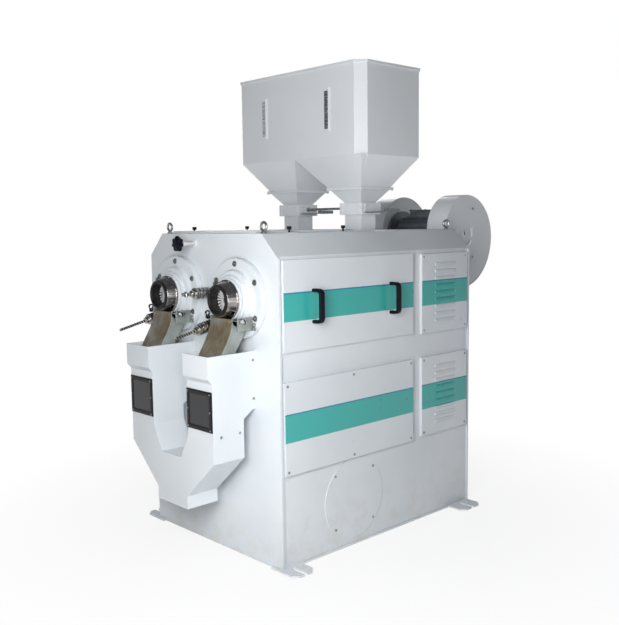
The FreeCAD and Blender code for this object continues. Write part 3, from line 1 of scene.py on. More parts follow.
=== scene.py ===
import math
import bmesh
import bpy
import numpy as np
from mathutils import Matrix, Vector


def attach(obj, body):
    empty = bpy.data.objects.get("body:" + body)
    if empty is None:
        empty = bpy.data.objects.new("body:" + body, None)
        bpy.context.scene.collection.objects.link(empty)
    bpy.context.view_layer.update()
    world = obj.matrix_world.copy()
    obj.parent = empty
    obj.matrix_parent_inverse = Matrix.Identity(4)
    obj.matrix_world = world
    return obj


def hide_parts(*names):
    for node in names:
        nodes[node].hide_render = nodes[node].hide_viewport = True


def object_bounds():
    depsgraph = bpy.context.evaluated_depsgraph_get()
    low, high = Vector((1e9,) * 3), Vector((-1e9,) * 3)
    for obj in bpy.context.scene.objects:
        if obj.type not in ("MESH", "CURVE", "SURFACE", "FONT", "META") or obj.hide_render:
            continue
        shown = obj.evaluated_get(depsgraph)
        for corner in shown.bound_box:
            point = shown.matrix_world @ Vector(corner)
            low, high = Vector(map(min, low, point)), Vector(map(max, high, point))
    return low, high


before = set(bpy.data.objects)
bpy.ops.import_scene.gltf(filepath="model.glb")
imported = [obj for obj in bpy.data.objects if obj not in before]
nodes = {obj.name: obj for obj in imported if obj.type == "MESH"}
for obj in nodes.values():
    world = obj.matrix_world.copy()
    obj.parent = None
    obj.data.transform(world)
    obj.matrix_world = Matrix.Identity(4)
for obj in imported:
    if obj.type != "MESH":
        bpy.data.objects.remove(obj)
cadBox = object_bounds()
mm = 0.001
print("frame loaded:", len(nodes), "nodes")


cameraSetup = {
    "place": (2.9728, -2.8366, 1.4407),
    "turn": (83.876, 0.725, 46.653),  # degrees
    "focal": 48.11,  # millimetres
    "sensor": 36,  # millimetres, the frame's long side
    "farthest": 60,
}


def makeCamera():
    data = bpy.data.cameras.new("photoCamera")
    data.sensor_width = cameraSetup["sensor"]
    data.lens = cameraSetup["focal"]
    data.clip_end = cameraSetup["farthest"]
    camera = bpy.data.objects.new("photoCamera", data)
    camera.location = cameraSetup["place"]
    camera.rotation_euler = [math.radians(a) for a in cameraSetup["turn"]]
    bpy.context.scene.collection.objects.link(camera)
    bpy.context.scene.camera = camera
    bpy.context.scene.view_settings.view_transform = "Standard"


makeCamera()


def linear(code):
    # sRGB hex text to linear light
    parts = np.array([int(code[i:i + 2], 16) for i in (1, 3, 5)]) / 255
    low = parts / 12.92
    high = ((parts + 0.055) / 1.055) ** 2.4
    return tuple(np.where(parts <= 0.04045, low, high)) + (1.0,)


def addNode(tree, kind, settings=None, links=None):
    # settings: socket or attribute name to value; links: socket name to an output socket
    made = tree.nodes.new("ShaderNode" + kind)
    for key, value in (settings or {}).items():
        if isinstance(key, int) or key in made.inputs:
            made.inputs[key].default_value = value
        else:
            setattr(made, key, value)
    for key, output in (links or {}).items():
        tree.links.new(output, made.inputs[key])
    return made


def feed(tree, socket, value):
    # a number or colour is set on the socket, an output is linked to it
    if isinstance(value, (int, float, tuple)):
        socket.default_value = value
    else:
        tree.links.new(value, socket)


def startMaterial(name, settings):
    material = bpy.data.materials.new(name)
    material.use_nodes = True
    tree = material.node_tree
    tree.nodes.clear()
    shader = addNode(tree, "BsdfPrincipled", settings)
    addNode(tree, "OutputMaterial", links={"Surface": shader.outputs[0]})
    place = addNode(tree, "TexCoord").outputs["Object"]
    return material, tree, shader, place


def coat(tree, shader, colour, roughness=None):
    tree.links.new(colour, shader.inputs["Base Color"])
    if roughness:
        tree.links.new(roughness, shader.inputs["Roughness"])


def ramp(tree, source, *stops):
    # colour ramp from (position, hex) pairs
    made = addNode(tree, "ValToRGB", links={"Fac": source})
    line = made.color_ramp
    while len(line.elements) < len(stops):
        line.elements.new(0.5)
    for element, (spot, code) in zip(line.elements, stops):
        element.position = spot
        element.color = linear(code)
    return made.outputs["Color"]


def spread(tree, source, low, high, fromLow=0.0, fromHigh=1.0):
    # maps a value range to another
    reach = {"From Min": fromLow, "From Max": fromHigh, "To Min": low, "To Max": high}
    return addNode(tree, "MapRange", reach, {"Value": source}).outputs["Result"]


def blendColours(tree, factor, first, second):
    made = addNode(tree, "Mix", {"data_type": "RGBA"})
    for index, value in ((0, factor), (6, first), (7, second)):
        feed(tree, made.inputs[index], value)
    return made.outputs[2]


def calc(tree, kind, first, second=0.0):
    made = addNode(tree, "Math", {"operation": kind})
    feed(tree, made.inputs[0], first)
    feed(tree, made.inputs[1], second)
    return made.outputs[0]


def weighted(tree, first, share, second, rest):
    # first times share plus second times rest
    return calc(tree, "ADD", calc(tree, "MULTIPLY", first, share), calc(tree, "MULTIPLY", second, rest))


def parted(tree, vector):
    return addNode(tree, "SeparateXYZ", links={"Vector": vector}).outputs


def turnedAside(tree):
    # how far a face looks to the left or right: 0 not at all, 1 straight
    normal = addNode(tree, "NewGeometry").outputs["True Normal"]
    return calc(tree, "ABSOLUTE", parted(tree, normal)["X"])


def noise(tree, place, size, detail=2.0, rough=0.5):
    # size is the pattern's real spacing in millimetres
    settings = {"Scale": 1000.0 / size, "Detail": detail, "Roughness": rough}
    return addNode(tree, "TexNoise", settings, {"Vector": place}).outputs[0]


def streaked(tree, place, stretch, size, detail=3.0):
    # noise drawn out along one axis, for brushed or rolled metal
    long = addNode(tree, "Mapping", {"Scale": stretch}, {"Vector": place}).outputs[0]
    return noise(tree, long, size, detail)


def bump(tree, shader, height, depth, strength=1.0, edge=None):
    # depth in millimetres; edge rounds the corners in the shading by that radius
    made = addNode(tree, "Bump", {"Distance": depth * mm, "Strength": strength}, {"Height": height})
    if edge:
        soft = addNode(tree, "Bevel", {"samples": 4, "Radius": edge * mm})
        tree.links.new(soft.outputs[0], made.inputs["Normal"])
    tree.links.new(made.outputs[0], shader.inputs["Normal"])


stageLook = {
    "size": 14.0,
    "below": 0.0005,  # how far the paper lies under the feet
    "middle": (0, 0.1, 0),
    "glow": (0.82, 1.0),  # share of pure white near the machine and far from it
    "reach": (0.8, 1.9),
}


def makeStage():
    look = stageLook
    size = look["size"]
    mesh = bpy.data.meshes.new("studioFloor")
    corners = [(-size, -size, 0), (size, -size, 0), (size, size, 0), (-size, size, 0)]
    mesh.from_pydata(corners, [], [(0, 1, 2, 3)])
    floor = bpy.data.objects.new("studioFloor", mesh)
    floor.location.z = cadBox[0][2] - look["below"]
    bpy.context.scene.collection.objects.link(floor)
    # White background paper that fades to pure white away from the machine
    paper = {"Roughness": 0.9, "Base Color": linear("#f4f4f4")}
    material, tree, shader, place = startMaterial("paleStudioPaper", paper)
    rays = addNode(tree, "LightPath").outputs
    glow = addNode(tree, "Emission", {"Color": (1, 1, 1, 1), "Strength": 1.0})
    offset = addNode(tree, "VectorMath", {"operation": "DISTANCE", 1: look["middle"]}, {0: place})
    near = spread(tree, offset.outputs["Value"], *look["glow"], *look["reach"])
    seen = calc(tree, "MAXIMUM", rays["Is Camera Ray"], rays["Is Glossy Ray"])
    share = calc(tree, "MULTIPLY", seen, near)
    both = addNode(tree, "MixShader", links={0: share, 1: shader.outputs[0], 2: glow.outputs[0]})
    out = [n for n in tree.nodes if n.bl_idname == "ShaderNodeOutputMaterial"][0]
    tree.links.new(both.outputs[0], out.inputs["Surface"])
    mesh.materials.append(material)


lamps = {  # place, aim, size in metres, power in watts
    "frontKey": ((1.9, -2.6, 1.9), (0.3, -0.4, 0.9), 1.2, 50),
    "lowSide": ((2.6, -0.9, 1.2), (0.3, -0.4, 0.9), 1.0, 4),
    "nearFill": ((1.3, -1.75, 1.1), (0.3, -0.5, 0.9), 0.6, 14),
    "rearFill": ((-2.8, 2.6, 3.0), (0, 0.2, 1.0), 2.0, 34),
    "backFill": ((0.4, 4.2, 1.5), (0, 0.6, 0.9), 2.2, 45),
    "leftFill": ((-4.0, -0.4, 1.5), (0, 0, 0.9), 2.2, 28),
}


def makeLights():
    for name, (place, aim, size, power) in lamps.items():
        data = bpy.data.lights.new(name, "AREA")
        data.size = size
        data.energy = power
        paintedHighlight = bpy.data.objects.new(name, data)
        paintedHighlight.location = place
        paintedHighlight.rotation_euler = (Vector(aim) - Vector(place)).to_track_quat("-Z", "Y").to_euler()
        paintedHighlight.visible_camera = False
        bpy.context.scene.collection.objects.link(paintedHighlight)
    world = bpy.data.worlds.new("studioWorld")
    bpy.context.scene.world = world
    world.use_nodes = True
    tree = world.node_tree
    tree.nodes.clear()
    rays = addNode(tree, "LightPath").outputs
    def sky(code, strength):
        return addNode(tree, "Background", {"Color": linear(code), "Strength": strength}).outputs[0]
    soft, room, white = sky("#eef3f8", 0.1), sky("#dfe4ea", 0.2), sky("#ffffff", 1.0)
    through = calc(tree, "MAXIMUM", rays["Is Camera Ray"], rays["Is Transmission Ray"])
    shine = addNode(tree, "MixShader", links={0: rays["Is Glossy Ray"], 1: soft, 2: room})
    both = addNode(tree, "MixShader", links={0: through, 1: shine.outputs[0], 2: white})
    addNode(tree, "OutputWorld", links={"Surface": both.outputs[0]})


makeStage()
makeLights()
print("stage and lights set")


enamelLook = {
    "colour": "#dde2e6",
    "shade": "#d2d8dd",
    "dust": "#c9c6bc",
    "peel": 5.0,  # orange peel spacing
    "peelDepth": 0.05,
    "roughness": (0.24, 0.38),
}
stripeLook = dict(
    enamelLook,
    roughness=(0.24, 0.36),
    teal="#38a8a2",
    edge="#1f7f9c",
    bands=((1.0415, 1.1604), (0.5393, 0.6600)),  # heights of the painted stripes
    line=0.006,
    facing=0.9,  # only faces turned to the side carry paint
    skin=0.4655,  # and only those outside the cabinet's shell
)


def addDust(tree, place, tone, look):
    low = spread(tree, parted(tree, place)["Z"], 1.0, 0.0, 0.0, 0.35)
    patches = spread(tree, noise(tree, place, 60, 5), 0.0, 0.5, 0.45, 0.75)
    return blendColours(tree, calc(tree, "MULTIPLY", low, patches), tone, linear(look["dust"]))


def addBands(tree, place, tone, look):
    # two masked teal bands with a thin blue line along their top
    split = parted(tree, place)
    aside = calc(tree, "GREATER_THAN", turnedAside(tree), look["facing"])
    outside = calc(tree, "GREATER_THAN", calc(tree, "ABSOLUTE", split["X"]), look["skin"])
    flat = calc(tree, "MULTIPLY", aside, outside)
    for low, high in look["bands"]:
        over = calc(tree, "GREATER_THAN", split["Z"], low)
        under = calc(tree, "LESS_THAN", split["Z"], high)
        band = calc(tree, "MULTIPLY", calc(tree, "MULTIPLY", over, under), flat)
        line = calc(tree, "GREATER_THAN", split["Z"], high - look["line"])
        paint = blendColours(tree, line, linear(look["teal"]), linear(look["edge"]))
        tone = blendColours(tree, band, tone, paint)
    return tone


def makeEnamel(name, look, edge=2.0, cover=addDust):
    # Sprayed machine enamel on sheet steel: an even gloss with a faint orange peel, under some dust
    # low down or two painted bands.
    coated = {"IOR": 1.5, "Coat Weight": 0.15, "Coat Roughness": 0.12}
    material, tree, shader, place = startMaterial(name, coated)
    tone = ramp(tree, noise(tree, place, 420, 3), (0.3, look["shade"]), (0.7, look["colour"]))
    roughness = spread(tree, noise(tree, place, 90, 4), *look["roughness"])
    coat(tree, shader, cover(tree, place, tone, look), roughness)
    bump(tree, shader, noise(tree, place, look["peel"], 1), look["peelDepth"], 0.6, edge)
    return material


def makeMetal(name, colours, roughness, stretch, grain, depth=0.02, edge=0.8):
    # Bare metal with a drawn-out grain; colours are the dark and light tones of its surface.
    material, tree, shader, place = startMaterial(name, {"Metallic": 1.0})
    lines = streaked(tree, place, stretch, grain)
    mixed = weighted(tree, lines, 0.6, noise(tree, place, 35, 4, 0.6), 0.4)
    coat(tree, shader, ramp(tree, mixed, (0.32, colours[0]), (0.68, colours[1])),
         spread(tree, mixed, roughness[1], roughness[0], 0.3, 0.7))
    bump(tree, shader, lines, depth, 0.8, edge)
    return material


def makeTurned(name, colours, roughness, ringSpace=1.6):
    # Lathe-turned steel: fine rings round each unit's shaft, blackened in patches.
    turned = {"Metallic": 1.0, "Anisotropic": 0.85, "Anisotropic Rotation": 0.25}
    material, tree, shader, place = startMaterial(name, turned)
    around = addNode(tree, "Tangent", {"direction_type": "RADIAL", "axis": "Y"})
    tree.links.new(around.outputs[0], shader.inputs["Tangent"])
    split = parted(tree, place)
    across = calc(tree, "SUBTRACT", calc(tree, "ABSOLUTE", split["X"]), unitX * mm)
    up = calc(tree, "SUBTRACT", split["Z"], unitZ * mm)
    radius = calc(tree, "SQRT", weighted(tree, across, across, up, up))
    run = calc(tree, "ADD", calc(tree, "MULTIPLY", radius, 0.8), split["Y"])
    rings = noise(tree, addNode(tree, "CombineXYZ", links={"X": run}).outputs[0], ringSpace, 3)
    mixed = weighted(tree, rings, 0.5, noise(tree, place, 28, 4, 0.6), 0.5)
    coat(tree, shader, ramp(tree, mixed, (0.3, colours[0]), (0.7, colours[1])),
         spread(tree, mixed, roughness[1], roughness[0], 0.3, 0.7))
    bump(tree, shader, rings, 0.006, 0.5, 0.8)
    return material


twistLook = {
    "slope": 13,
    "pitch": 0.012,
    "depth": 0.6,
    # painted shade and painted highlight tones for the rod's twisted faces
    "paintedShade": "#2c2b2a",
    "paintedHighlight": "#c2c3c2",
    "rods": (0.112, -0.324),  # x of the right-hand and left-hand rod
    "through": (-0.705, 1.018),  # a point of the rods' axis seen from the side
}


def makeTwisted(name, look):
    # Bright rod rolled into a coarse twist: bands of painted shade and painted highlight wind once round it
    # every few mm.
    material, tree, shader, place = startMaterial(name, {"Metallic": 1.0, "Roughness": 0.3})
    split = parted(tree, place)
    right = calc(tree, "GREATER_THAN", split["X"], 0.0)
    near, far = look["rods"]
    middle = calc(tree, "SUBTRACT", calc(tree, "MULTIPLY", right, near - far), -far)
    across = calc(tree, "SUBTRACT", split["X"], middle)
    slope = math.radians(look["slope"])
    out = calc(tree, "ADD", split["Y"], -look["through"][0])
    up = calc(tree, "SUBTRACT", split["Z"], look["through"][1])
    along = weighted(tree, out, math.cos(slope), up, math.sin(slope))
    over = calc(tree, "SUBTRACT", calc(tree, "MULTIPLY", up, math.cos(slope)),
                calc(tree, "MULTIPLY", out, math.sin(slope)))
    phase = calc(tree, "ADD", calc(tree, "MULTIPLY", along, 2 * math.pi / look["pitch"]),
                 calc(tree, "ARCTAN2", over, across))
    wave = calc(tree, "SINE", phase)
    share = spread(tree, wave, 0.0, 1.0, -1.0, 1.0)
    # the dark and light bands are painted shade and painted highlight laid into the rod's colour
    coat(tree, shader, ramp(tree, share, (0.35, look["paintedShade"]), (0.6, look["paintedHighlight"])))
    bump(tree, shader, wave, look["depth"], 0.8, 0.5)
    return material


sheetLook = {
    "stain": 75,  # spacing of the brown patches
    "steel": "#95958f",
    "middle": "#877d6b",
    "rust": "#77664f",
    "side": "#aab1af",  # lighter, greyer metal on the chutes' faces that are turned to the side
    "sideShade": "#90968f",
}


def makeRolledSheet(name, look):
    # Bare rolled sheet that rice has polished: grey steel with soft brown stains, faintly streaked.
    start = {"Metallic": 0.55, "Specular IOR Level": 0.3}
    material, tree, shader, place = startMaterial(name, start)
    broad = noise(tree, place, look["stain"], 4, 0.55)
    share = weighted(tree, broad, 0.75, streaked(tree, place, (1.0, 0.5, 0.16), 11, 4), 0.25)
    tone = ramp(tree, share, (0.36, look["steel"]), (0.5, look["middle"]), (0.64, look["rust"]))
    sideTone = ramp(tree, broad, (0.3, look["side"]), (0.7, look["sideShade"]))
    # faces turned to the side take the lighter grey tone in place of the brown one
    tone = blendColours(tree, spread(tree, turnedAside(tree), 0.0, 1.0, 0.5, 0.8), tone, sideTone)
    coat(tree, shader, tone, spread(tree, share, 0.46, 0.62, 0.35, 0.65))
    bump(tree, shader, broad, 0.5, 0.5, 1.0)
    return material


def makePlain(name, colours, roughness, grain, depth=0.04, settings=None, edge=0.8):
    # Moulded plastic, rubber or paint with a fine even texture.
    material, tree, shader, place = startMaterial(name, dict({"IOR": 1.47}, **(settings or {})))
    cloud = noise(tree, place, grain * 12, 3)
    coat(tree, shader, ramp(tree, cloud, (0.3, colours[0]), (0.7, colours[1])),
         spread(tree, cloud, *roughness))
    bump(tree, shader, noise(tree, place, grain, 2), depth, 0.8, edge)
    return material


def makeGlass(name, colour, alpha, roughness=0.06):
    # Acrylic pane: glossy front with rice dust dulling it in patches.
    start = {"IOR": 1.49, "Alpha": alpha, "Base Color": linear(colour)}
    material, tree, shader, place = startMaterial(name, start)
    dull = spread(tree, noise(tree, place, 24, 5), roughness, roughness + 0.25, 0.45, 0.8)
    tree.links.new(dull, shader.inputs["Roughness"])
    return material


paneLook = {"dusty": ("#8d9296", "#c3c7ca"), "clear": ("#4b5053", "#9aa0a4"), "marks": 9.0}


def makeMarkedPane(name, look):
    # Acrylic sight slip: one dulled by rice dust, the other clearer, with rice in short level marks.
    material, tree, shader, place = startMaterial(name, {"IOR": 1.49, "Roughness": 0.25})
    marks = streaked(tree, place, (0.3, 0.3, 2.2), look["marks"], 2)
    dusty = ramp(tree, marks, (0.4, look["dusty"][0]), (0.55, look["dusty"][1]))
    clear = ramp(tree, marks, (0.5, look["clear"][0]), (0.62, look["clear"][1]))
    right = calc(tree, "GREATER_THAN", parted(tree, place)["X"], 0.0)
    coat(tree, shader, blendColours(tree, right, dusty, clear))
    return material


frontY = -640.0  # the front plate's face
unitX, unitZ = 218.0, 1127.0  # the milling units' shafts

whiteEnamel = makeEnamel("sprayedWhiteEnamel", enamelLook)
stripedEnamel = makeEnamel("whiteEnamelWithTealBands", stripeLook, cover=addBands)
ventEnamel = makeEnamel("bandedEnamelOnVents", dict(stripeLook, facing=0.1), cover=addBands)
castLook = dict(enamelLook, peel=3.2, peelDepth=0.18, colour="#d9dee3")
castEnamel = makeEnamel("whiteEnamelOnCastIron", castLook, 2.5)
hopperLook = dict(enamelLook, colour="#e2e5e8", shade="#d9dde1")
hopperEnamel = makeEnamel("whiteEnamelOnHopperSheet", hopperLook)
fanPaint = dict(enamelLook, colour="#dde1e5", shade="#d3d7db")
fanEnamel = makeEnamel("greyWhiteFanEnamel", fanPaint)
motorEnamel = makePlain("darkGreyMotorEnamel", ("#4f5459", "#61676c"), (0.3, 0.45), 3.0, 0.1,
                        {"Coat Weight": 0.2}, 1.2)
chuteSteel = makeRolledSheet("bareRolledSteelSheet", sheetLook)
cheekLook = dict(sheetLook, steel="#a9b0ad", middle="#90948f", rust="#77726a")
cheekSteel = makeRolledSheet("greyedSteelPlate", cheekLook)
even = (1, 1, 1)
galvanised = makeMetal("galvanisedSheet", ("#8d9194", "#b9bdc0"), (0.35, 0.55), even, 18)
turnedSteel = makeTurned("blackenedTurnedSteel", ("#858180", "#aaa6a4"), (0.16, 0.24))
brightSteel = makeMetal("machinedSteel", ("#8f9092", "#c4c5c6"), (0.2, 0.36), (1.0, 0.15, 1.0), 4)
crownSteel = makePlain("brightGroundSteel", ("#c9cacb", "#eeeff0"), (0.4, 0.55), 3.0, 0.03,
                       {"Metallic": 0.25}, 0.6)
twistedSteel = makeTwisted("twistedRodWithPaintedHighlights", twistLook)
castSteel = makeMetal("oiledCastIron", ("#2b2a2a", "#5a5856"), (0.4, 0.6), even, 6, 0.08)
oiledSteel = makeMetal("oiledScrewSteel", ("#4c4b47", "#85847d"), (0.3, 0.5), even, 6, 0.04)
zincPlate = makeMetal("zincPlatedSteel", ("#7e8284", "#b4b8ba"), (0.25, 0.42), (1, 1, 0.4), 3, 0.01, 0.5)
discSteel = makeMetal("turnedDiscSteel", ("#807f7a", "#c4c3be"), (0.16, 0.32), even, 5, 0.04)
castAluminium = makeMetal("castAluminium", ("#9a9c9e", "#c9cbcc"), (0.35, 0.5), even, 5, 0.05)
blackPlastic = makePlain("mouldedBlackPlastic", ("#060812", "#0b0e1a"), (0.42, 0.56), 0.9, 0.03,
                         {"Specular IOR Level": 0.14})
blackPaint = makePlain("satinBlackPaint", ("#0b0b0e", "#131317"), (0.34, 0.5), 2.0, 0.04,
                       {"Specular IOR Level": 0.3})
beltRubber = makePlain("fabricFacedRubber", ("#141414", "#222020"), (0.7, 0.9), 1.4, 0.1)
smokedPane = makeGlass("smokedAcrylic", "#1b1d21", 0.93)
clearPane = makeMarkedPane("markedAcrylic", paneLook)

finishes = (
    (whiteEnamel, "base_frame cabinet_shell roof_panel front_plate rear_plate bearing_wall round_covers "
                  "top_cover collecting_hopper fan_shelf"),
    (fanEnamel, "fan_housing_left fan_housing_right"),
    (stripedEnamel, "door_left door_right lower_panel_left lower_panel_right louvre_panels_left "
                    "louvre_panels_right"),
    (castEnamel, "chamber_flanges feed_housings"),
    (hopperEnamel, "feed_hopper feed_necks"),
    (motorEnamel, "fan_motor main_motors bearing_housings"),
    (chuteSteel, "discharge_spouts"),
    (galvanised, "bran_hopper"),
    (turnedSteel, "discharge_cones milling_roller_left milling_roller_right"),
    (brightSteel, "main_shaft_left main_shaft_right screen_cages slide_gate_left slide_gate_right"),
    (twistedSteel, "pressure_lever_left pressure_lever_right"),
    (castSteel, "lever_weights_left lever_weights_right weight_peg driven_pulley_left "
                "driven_pulley_right motor_rotor_left motor_rotor_right flange_bolts"),
    (zincPlate, "lifting_eyes gate_tie_rod"),
    (blackPlastic, "door_handles_left door_handles_right cover_knobs star_knob"),
    (blackPaint, "end_rings window_frames"),
    (beltRubber, "drive_belts"),
    (castAluminium, "fan_rotor"),
    (smokedPane, "hopper_windows"),
    (clearPane, "hopper_sight_strips"),
)


def dressNodes():
    bare = set(nodes)
    for material, names in finishes:
        for name in names.split():
            mesh = nodes[name].data
            mesh.materials.clear()
            mesh.materials.append(material)
            bare.discard(name)
    print("nodes without a finish:", sorted(bare))


dressNodes()
print("materials assigned")


axes = {"X": (1, 2, 0), "Y": (2, 0, 1), "Z": (0, 1, 2)}  # where across, up and along go for each axis


def gridOf(x, y, z):
    # three arrays that broadcast to one grid of points
    return np.stack(np.broadcast_arrays(x, y, z), axis=-1)


def placed(axis, centre, across, up, along):
    # a grid of points round a centre, with its along running on the named axis
    grid = np.empty(across.shape + (3,))
    for index, values in zip(axes[axis], (across, up, along)):
        grid[..., index] = values
    return grid + np.array(centre, float)


def joinGrid(grid, wrap=False, loop=False):
    # Quads between neighbouring rows and columns of a grid of points
    rows, columns = grid.shape[:2]
    index = np.arange(rows * columns).reshape(rows, columns)
    if wrap:
        index = np.concatenate([index, index[:, :1]], axis=1)
    if loop:
        index = np.concatenate([index, index[:1]], axis=0)
    faces = np.stack([index[:-1, :-1], index[1:, :-1], index[1:, 1:], index[:-1, 1:]], axis=-1)
    return grid.reshape(-1, 3), faces.reshape(-1, 4)


def turnedGrid(profile, centre, count=48, axis="Y", outline=None):
    # A profile of (radius, along) rows turned round an axis. With an outline, each radius is
    # multiplied by outline(angle), so the ring may be lobed or six-sided.
    rows = np.array(profile, float)
    angle = np.arange(count) * 2 * math.pi / count
    shape = np.ones(count) if outline is None else outline(angle)
    across = rows[:, :1] * (np.cos(angle) * shape)[None, :]
    up = rows[:, :1] * (np.sin(angle) * shape)[None, :]
    return joinGrid(placed(axis, centre, across, up, rows[:, 1:]), wrap=True)


def merged(parts):
    points, faces, start = [], [], 0
    for some, ring in parts:
        points.append(some)
        faces.append(ring + start)
        start += len(some)
    return np.concatenate(points), np.concatenate(faces)


def addPiece(name, parts, material, body="machine", crease=30, hides=(), bevel=None, wall=None):
    # parts: (points in millimetres, quads) pairs that become one mesh
    points, faces = merged(parts)
    mesh = bpy.data.meshes.new(name)
    mesh.from_pydata((points * mm).tolist(), [], faces.tolist())
    work = bmesh.new()
    work.from_mesh(mesh)
    bmesh.ops.remove_doubles(work, verts=work.verts, dist=2e-6)
    bmesh.ops.dissolve_degenerate(work, dist=1e-7, edges=work.edges)
    bmesh.ops.recalc_face_normals(work, faces=work.faces)
    work.to_mesh(mesh)
    work.free()
    mesh.shade_smooth()
    mesh.set_sharp_from_angle(angle=math.radians(crease))
    mesh.materials.append(material)
    piece = bpy.data.objects.new(name, mesh)
    bpy.context.scene.collection.objects.link(piece)
    if wall:
        shell = piece.modifiers.new("wall", "SOLIDIFY")
        shell.thickness = wall * mm
        shell.offset = -1
    if bevel:
        soft = piece.modifiers.new("softEdges", "BEVEL")
        soft.width = bevel * mm
        soft.segments = 2
        soft.limit_method = "ANGLE"
        soft.angle_limit = math.radians(crease)
    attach(piece, body)
    if hides:
        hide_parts(*hides)


def rounded(corners, radius=1.5, steps=3):
    # Open profile with each inner corner turned into a short arc
    out = [corners[0]]
    for before, here, after in zip(corners[:-2], corners[1:-1], corners[2:]):
        b, h, a = (np.array(p, float) for p in (before, here, after))
        one, two = b - h, a - h
        cut = min(radius, np.linalg.norm(one) / 2.01, np.linalg.norm(two) / 2.01)
        start = h + one / np.linalg.norm(one) * cut
        end = h + two / np.linalg.norm(two) * cut
        t = np.linspace(0, 1, steps + 1)[:, None]
        out += list(map(tuple, (1 - t) ** 2 * start + 2 * t * (1 - t) * h + t ** 2 * end))
    return out + [corners[-1]]


def boxParts(low, high):
    low, high = np.array(low, float), np.array(high, float)
    pick = np.array([[0, 0, 0], [1, 0, 0], [1, 1, 0], [0, 1, 0], [0, 0, 1], [1, 0, 1], [1, 1, 1], [0, 1, 1]])
    faces = np.array([[0, 3, 2, 1], [4, 5, 6, 7], [0, 1, 5, 4], [1, 2, 6, 5], [2, 3, 7, 6], [3, 0, 4, 7]])
    return low + pick * (high - low), faces


def swept(path, section, loop, side):
    # A closed section of (outward, sideways) points carried along a flat path. Sideways runs along
    # side, outward lies in the path's plane, and corners are mitred.
    path = np.array(path, float)
    section = np.array(section, float)
    side = np.array(side, float)
    after = np.roll(path, -1, axis=0) - path
    before = path - np.roll(path, 1, axis=0)
    if not loop:
        after[-1], before[0] = before[-1], after[0]
    after /= np.linalg.norm(after, axis=1)[:, None]
    before /= np.linalg.norm(before, axis=1)[:, None]
    middle = after + before
    middle /= np.linalg.norm(middle, axis=1)[:, None]
    stretch = 1 / np.maximum(0.3, np.sum(middle * after, axis=1))
    out = np.cross(middle, side) * stretch[:, None]
    grid = path[:, None, :] + section[None, :, :1] * out[:, None, :] + section[None, :, 1:] * side
    if not loop:  # close both ends
        first, last = (np.repeat(grid[i].mean(axis=0)[None, None], len(section), axis=1) for i in (0, -1))
        grid = np.concatenate([first, grid, last])
    return joinGrid(grid, wrap=True, loop=loop)


def headParts(radius, height, recess, axis, centre, way=1, depth=0.6, rings=7, count=24):
    # Screw head: a low dome over the radius, sunk where the recess says so
    ring = np.linspace(1, 0, rings)[:, None] * radius
    angle = np.arange(count) * 2 * math.pi / count
    x = ring * np.cos(angle)
    y = ring * np.sin(angle)
    dome = height * (1 - 0.55 * (ring / radius) ** 4) + 0 * x
    if recess == "cross":
        arm = np.minimum(np.abs(x), np.abs(y)) < radius * 0.17
        sunk = arm & (np.maximum(np.abs(x), np.abs(y)) < radius * 0.62)
    else:
        turns = (0, math.pi / 3, 2 * math.pi / 3)
        reach = np.max([np.abs(x * math.cos(t) + y * math.sin(t)) for t in turns], axis=0)
        sunk = reach < radius * 0.5
    lift = np.concatenate([np.zeros((1, count)), np.where(sunk, dome - height * depth, dome)])
    x = np.concatenate([x[:1], x])
    y = np.concatenate([y[:1], y])
    return joinGrid(placed(axis, centre, x, y, lift * way), wrap=True)


def hexOutline(angle):
    # distance to a hexagon's side, as a share of its corner radius
    part = np.mod(angle, math.pi / 3) - math.pi / 6
    return math.cos(math.pi / 6) / np.cos(part)


def hexHead(radius, height, axis, centre, way=1):
    top = height * way
    profile = [(0, 0), (radius, 0), (radius, top * 0.8), (radius * 0.9, top), (0, top)]
    return turnedGrid(profile, centre, 24, axis, hexOutline)


pivotY, pivotZ = frontY - 98, 1048  # the pressure levers' pivots
pegZ = 1141
feedY = 97.0  # the middle of funnels and necks
lowerPanel = (20, 813, 400, 392)  # distance behind the front, length, low edge, height
louvrePanels = ((898, 356, 907, 380), (898, 356, 408, 384))
sides = ((-1, "left"), (1, "right"))
ends = (-1, 1)
fourWays = [(a, b) for a in ends for b in ends]

screwLook = {
    "radius": 6.0, "height": 3.0,
    "edge": 16,  # from a panel's edge
    "panelFace": 466.0, "coverFace": 455.0, "hopperFace": 304.0,
    "cover": (438, 213, 121),  # middle of the round cover, and half the screws' spacing
    "hopper": ((12, 876), (12, 713), (89, 579), (185, 577)),
}


def makePanelScrews():
    # Pan-head cross-recess screws on the panels, round covers and collecting hopper
    look = screwLook
    edge = look["edge"]
    def corners(lead, length, low, height):
        reach = (frontY + lead + edge, frontY + lead + length - edge)
        return [(y, z) for z in (low + edge, low + height - edge) for y in reach]
    panel = corners(*lowerPanel)
    middle = frontY + lowerPanel[0] + lowerPanel[1] / 2
    panel += [(middle, panel[0][1]), (middle, panel[2][1])]
    panel += corners(*louvrePanels[0]) + corners(*louvrePanels[1])
    lead, level, half = look["cover"]
    cover = [(frontY + lead + a * half, level + b * half) for a, b in fourWays]
    hopper = [(frontY - out, z) for out, z in look["hopper"]]
    faces = ((look["panelFace"], panel), (look["coverFace"], cover), (look["hopperFace"], hopper))
    parts = [headParts(look["radius"], look["height"], "cross", "X", (way * face, y, z), way)
             for way in ends for face, spots in faces for y, z in spots]
    addPiece("crossHeadScrews", parts, zincPlate, crease=40)


flangeLook = {
    "rim": 172, "rimThick": 30,
    "stepOne": 120, "one": 18,
    "stepTwo": 100, "two": 14,
    "bore": 86,
    "fillet": 5,
}


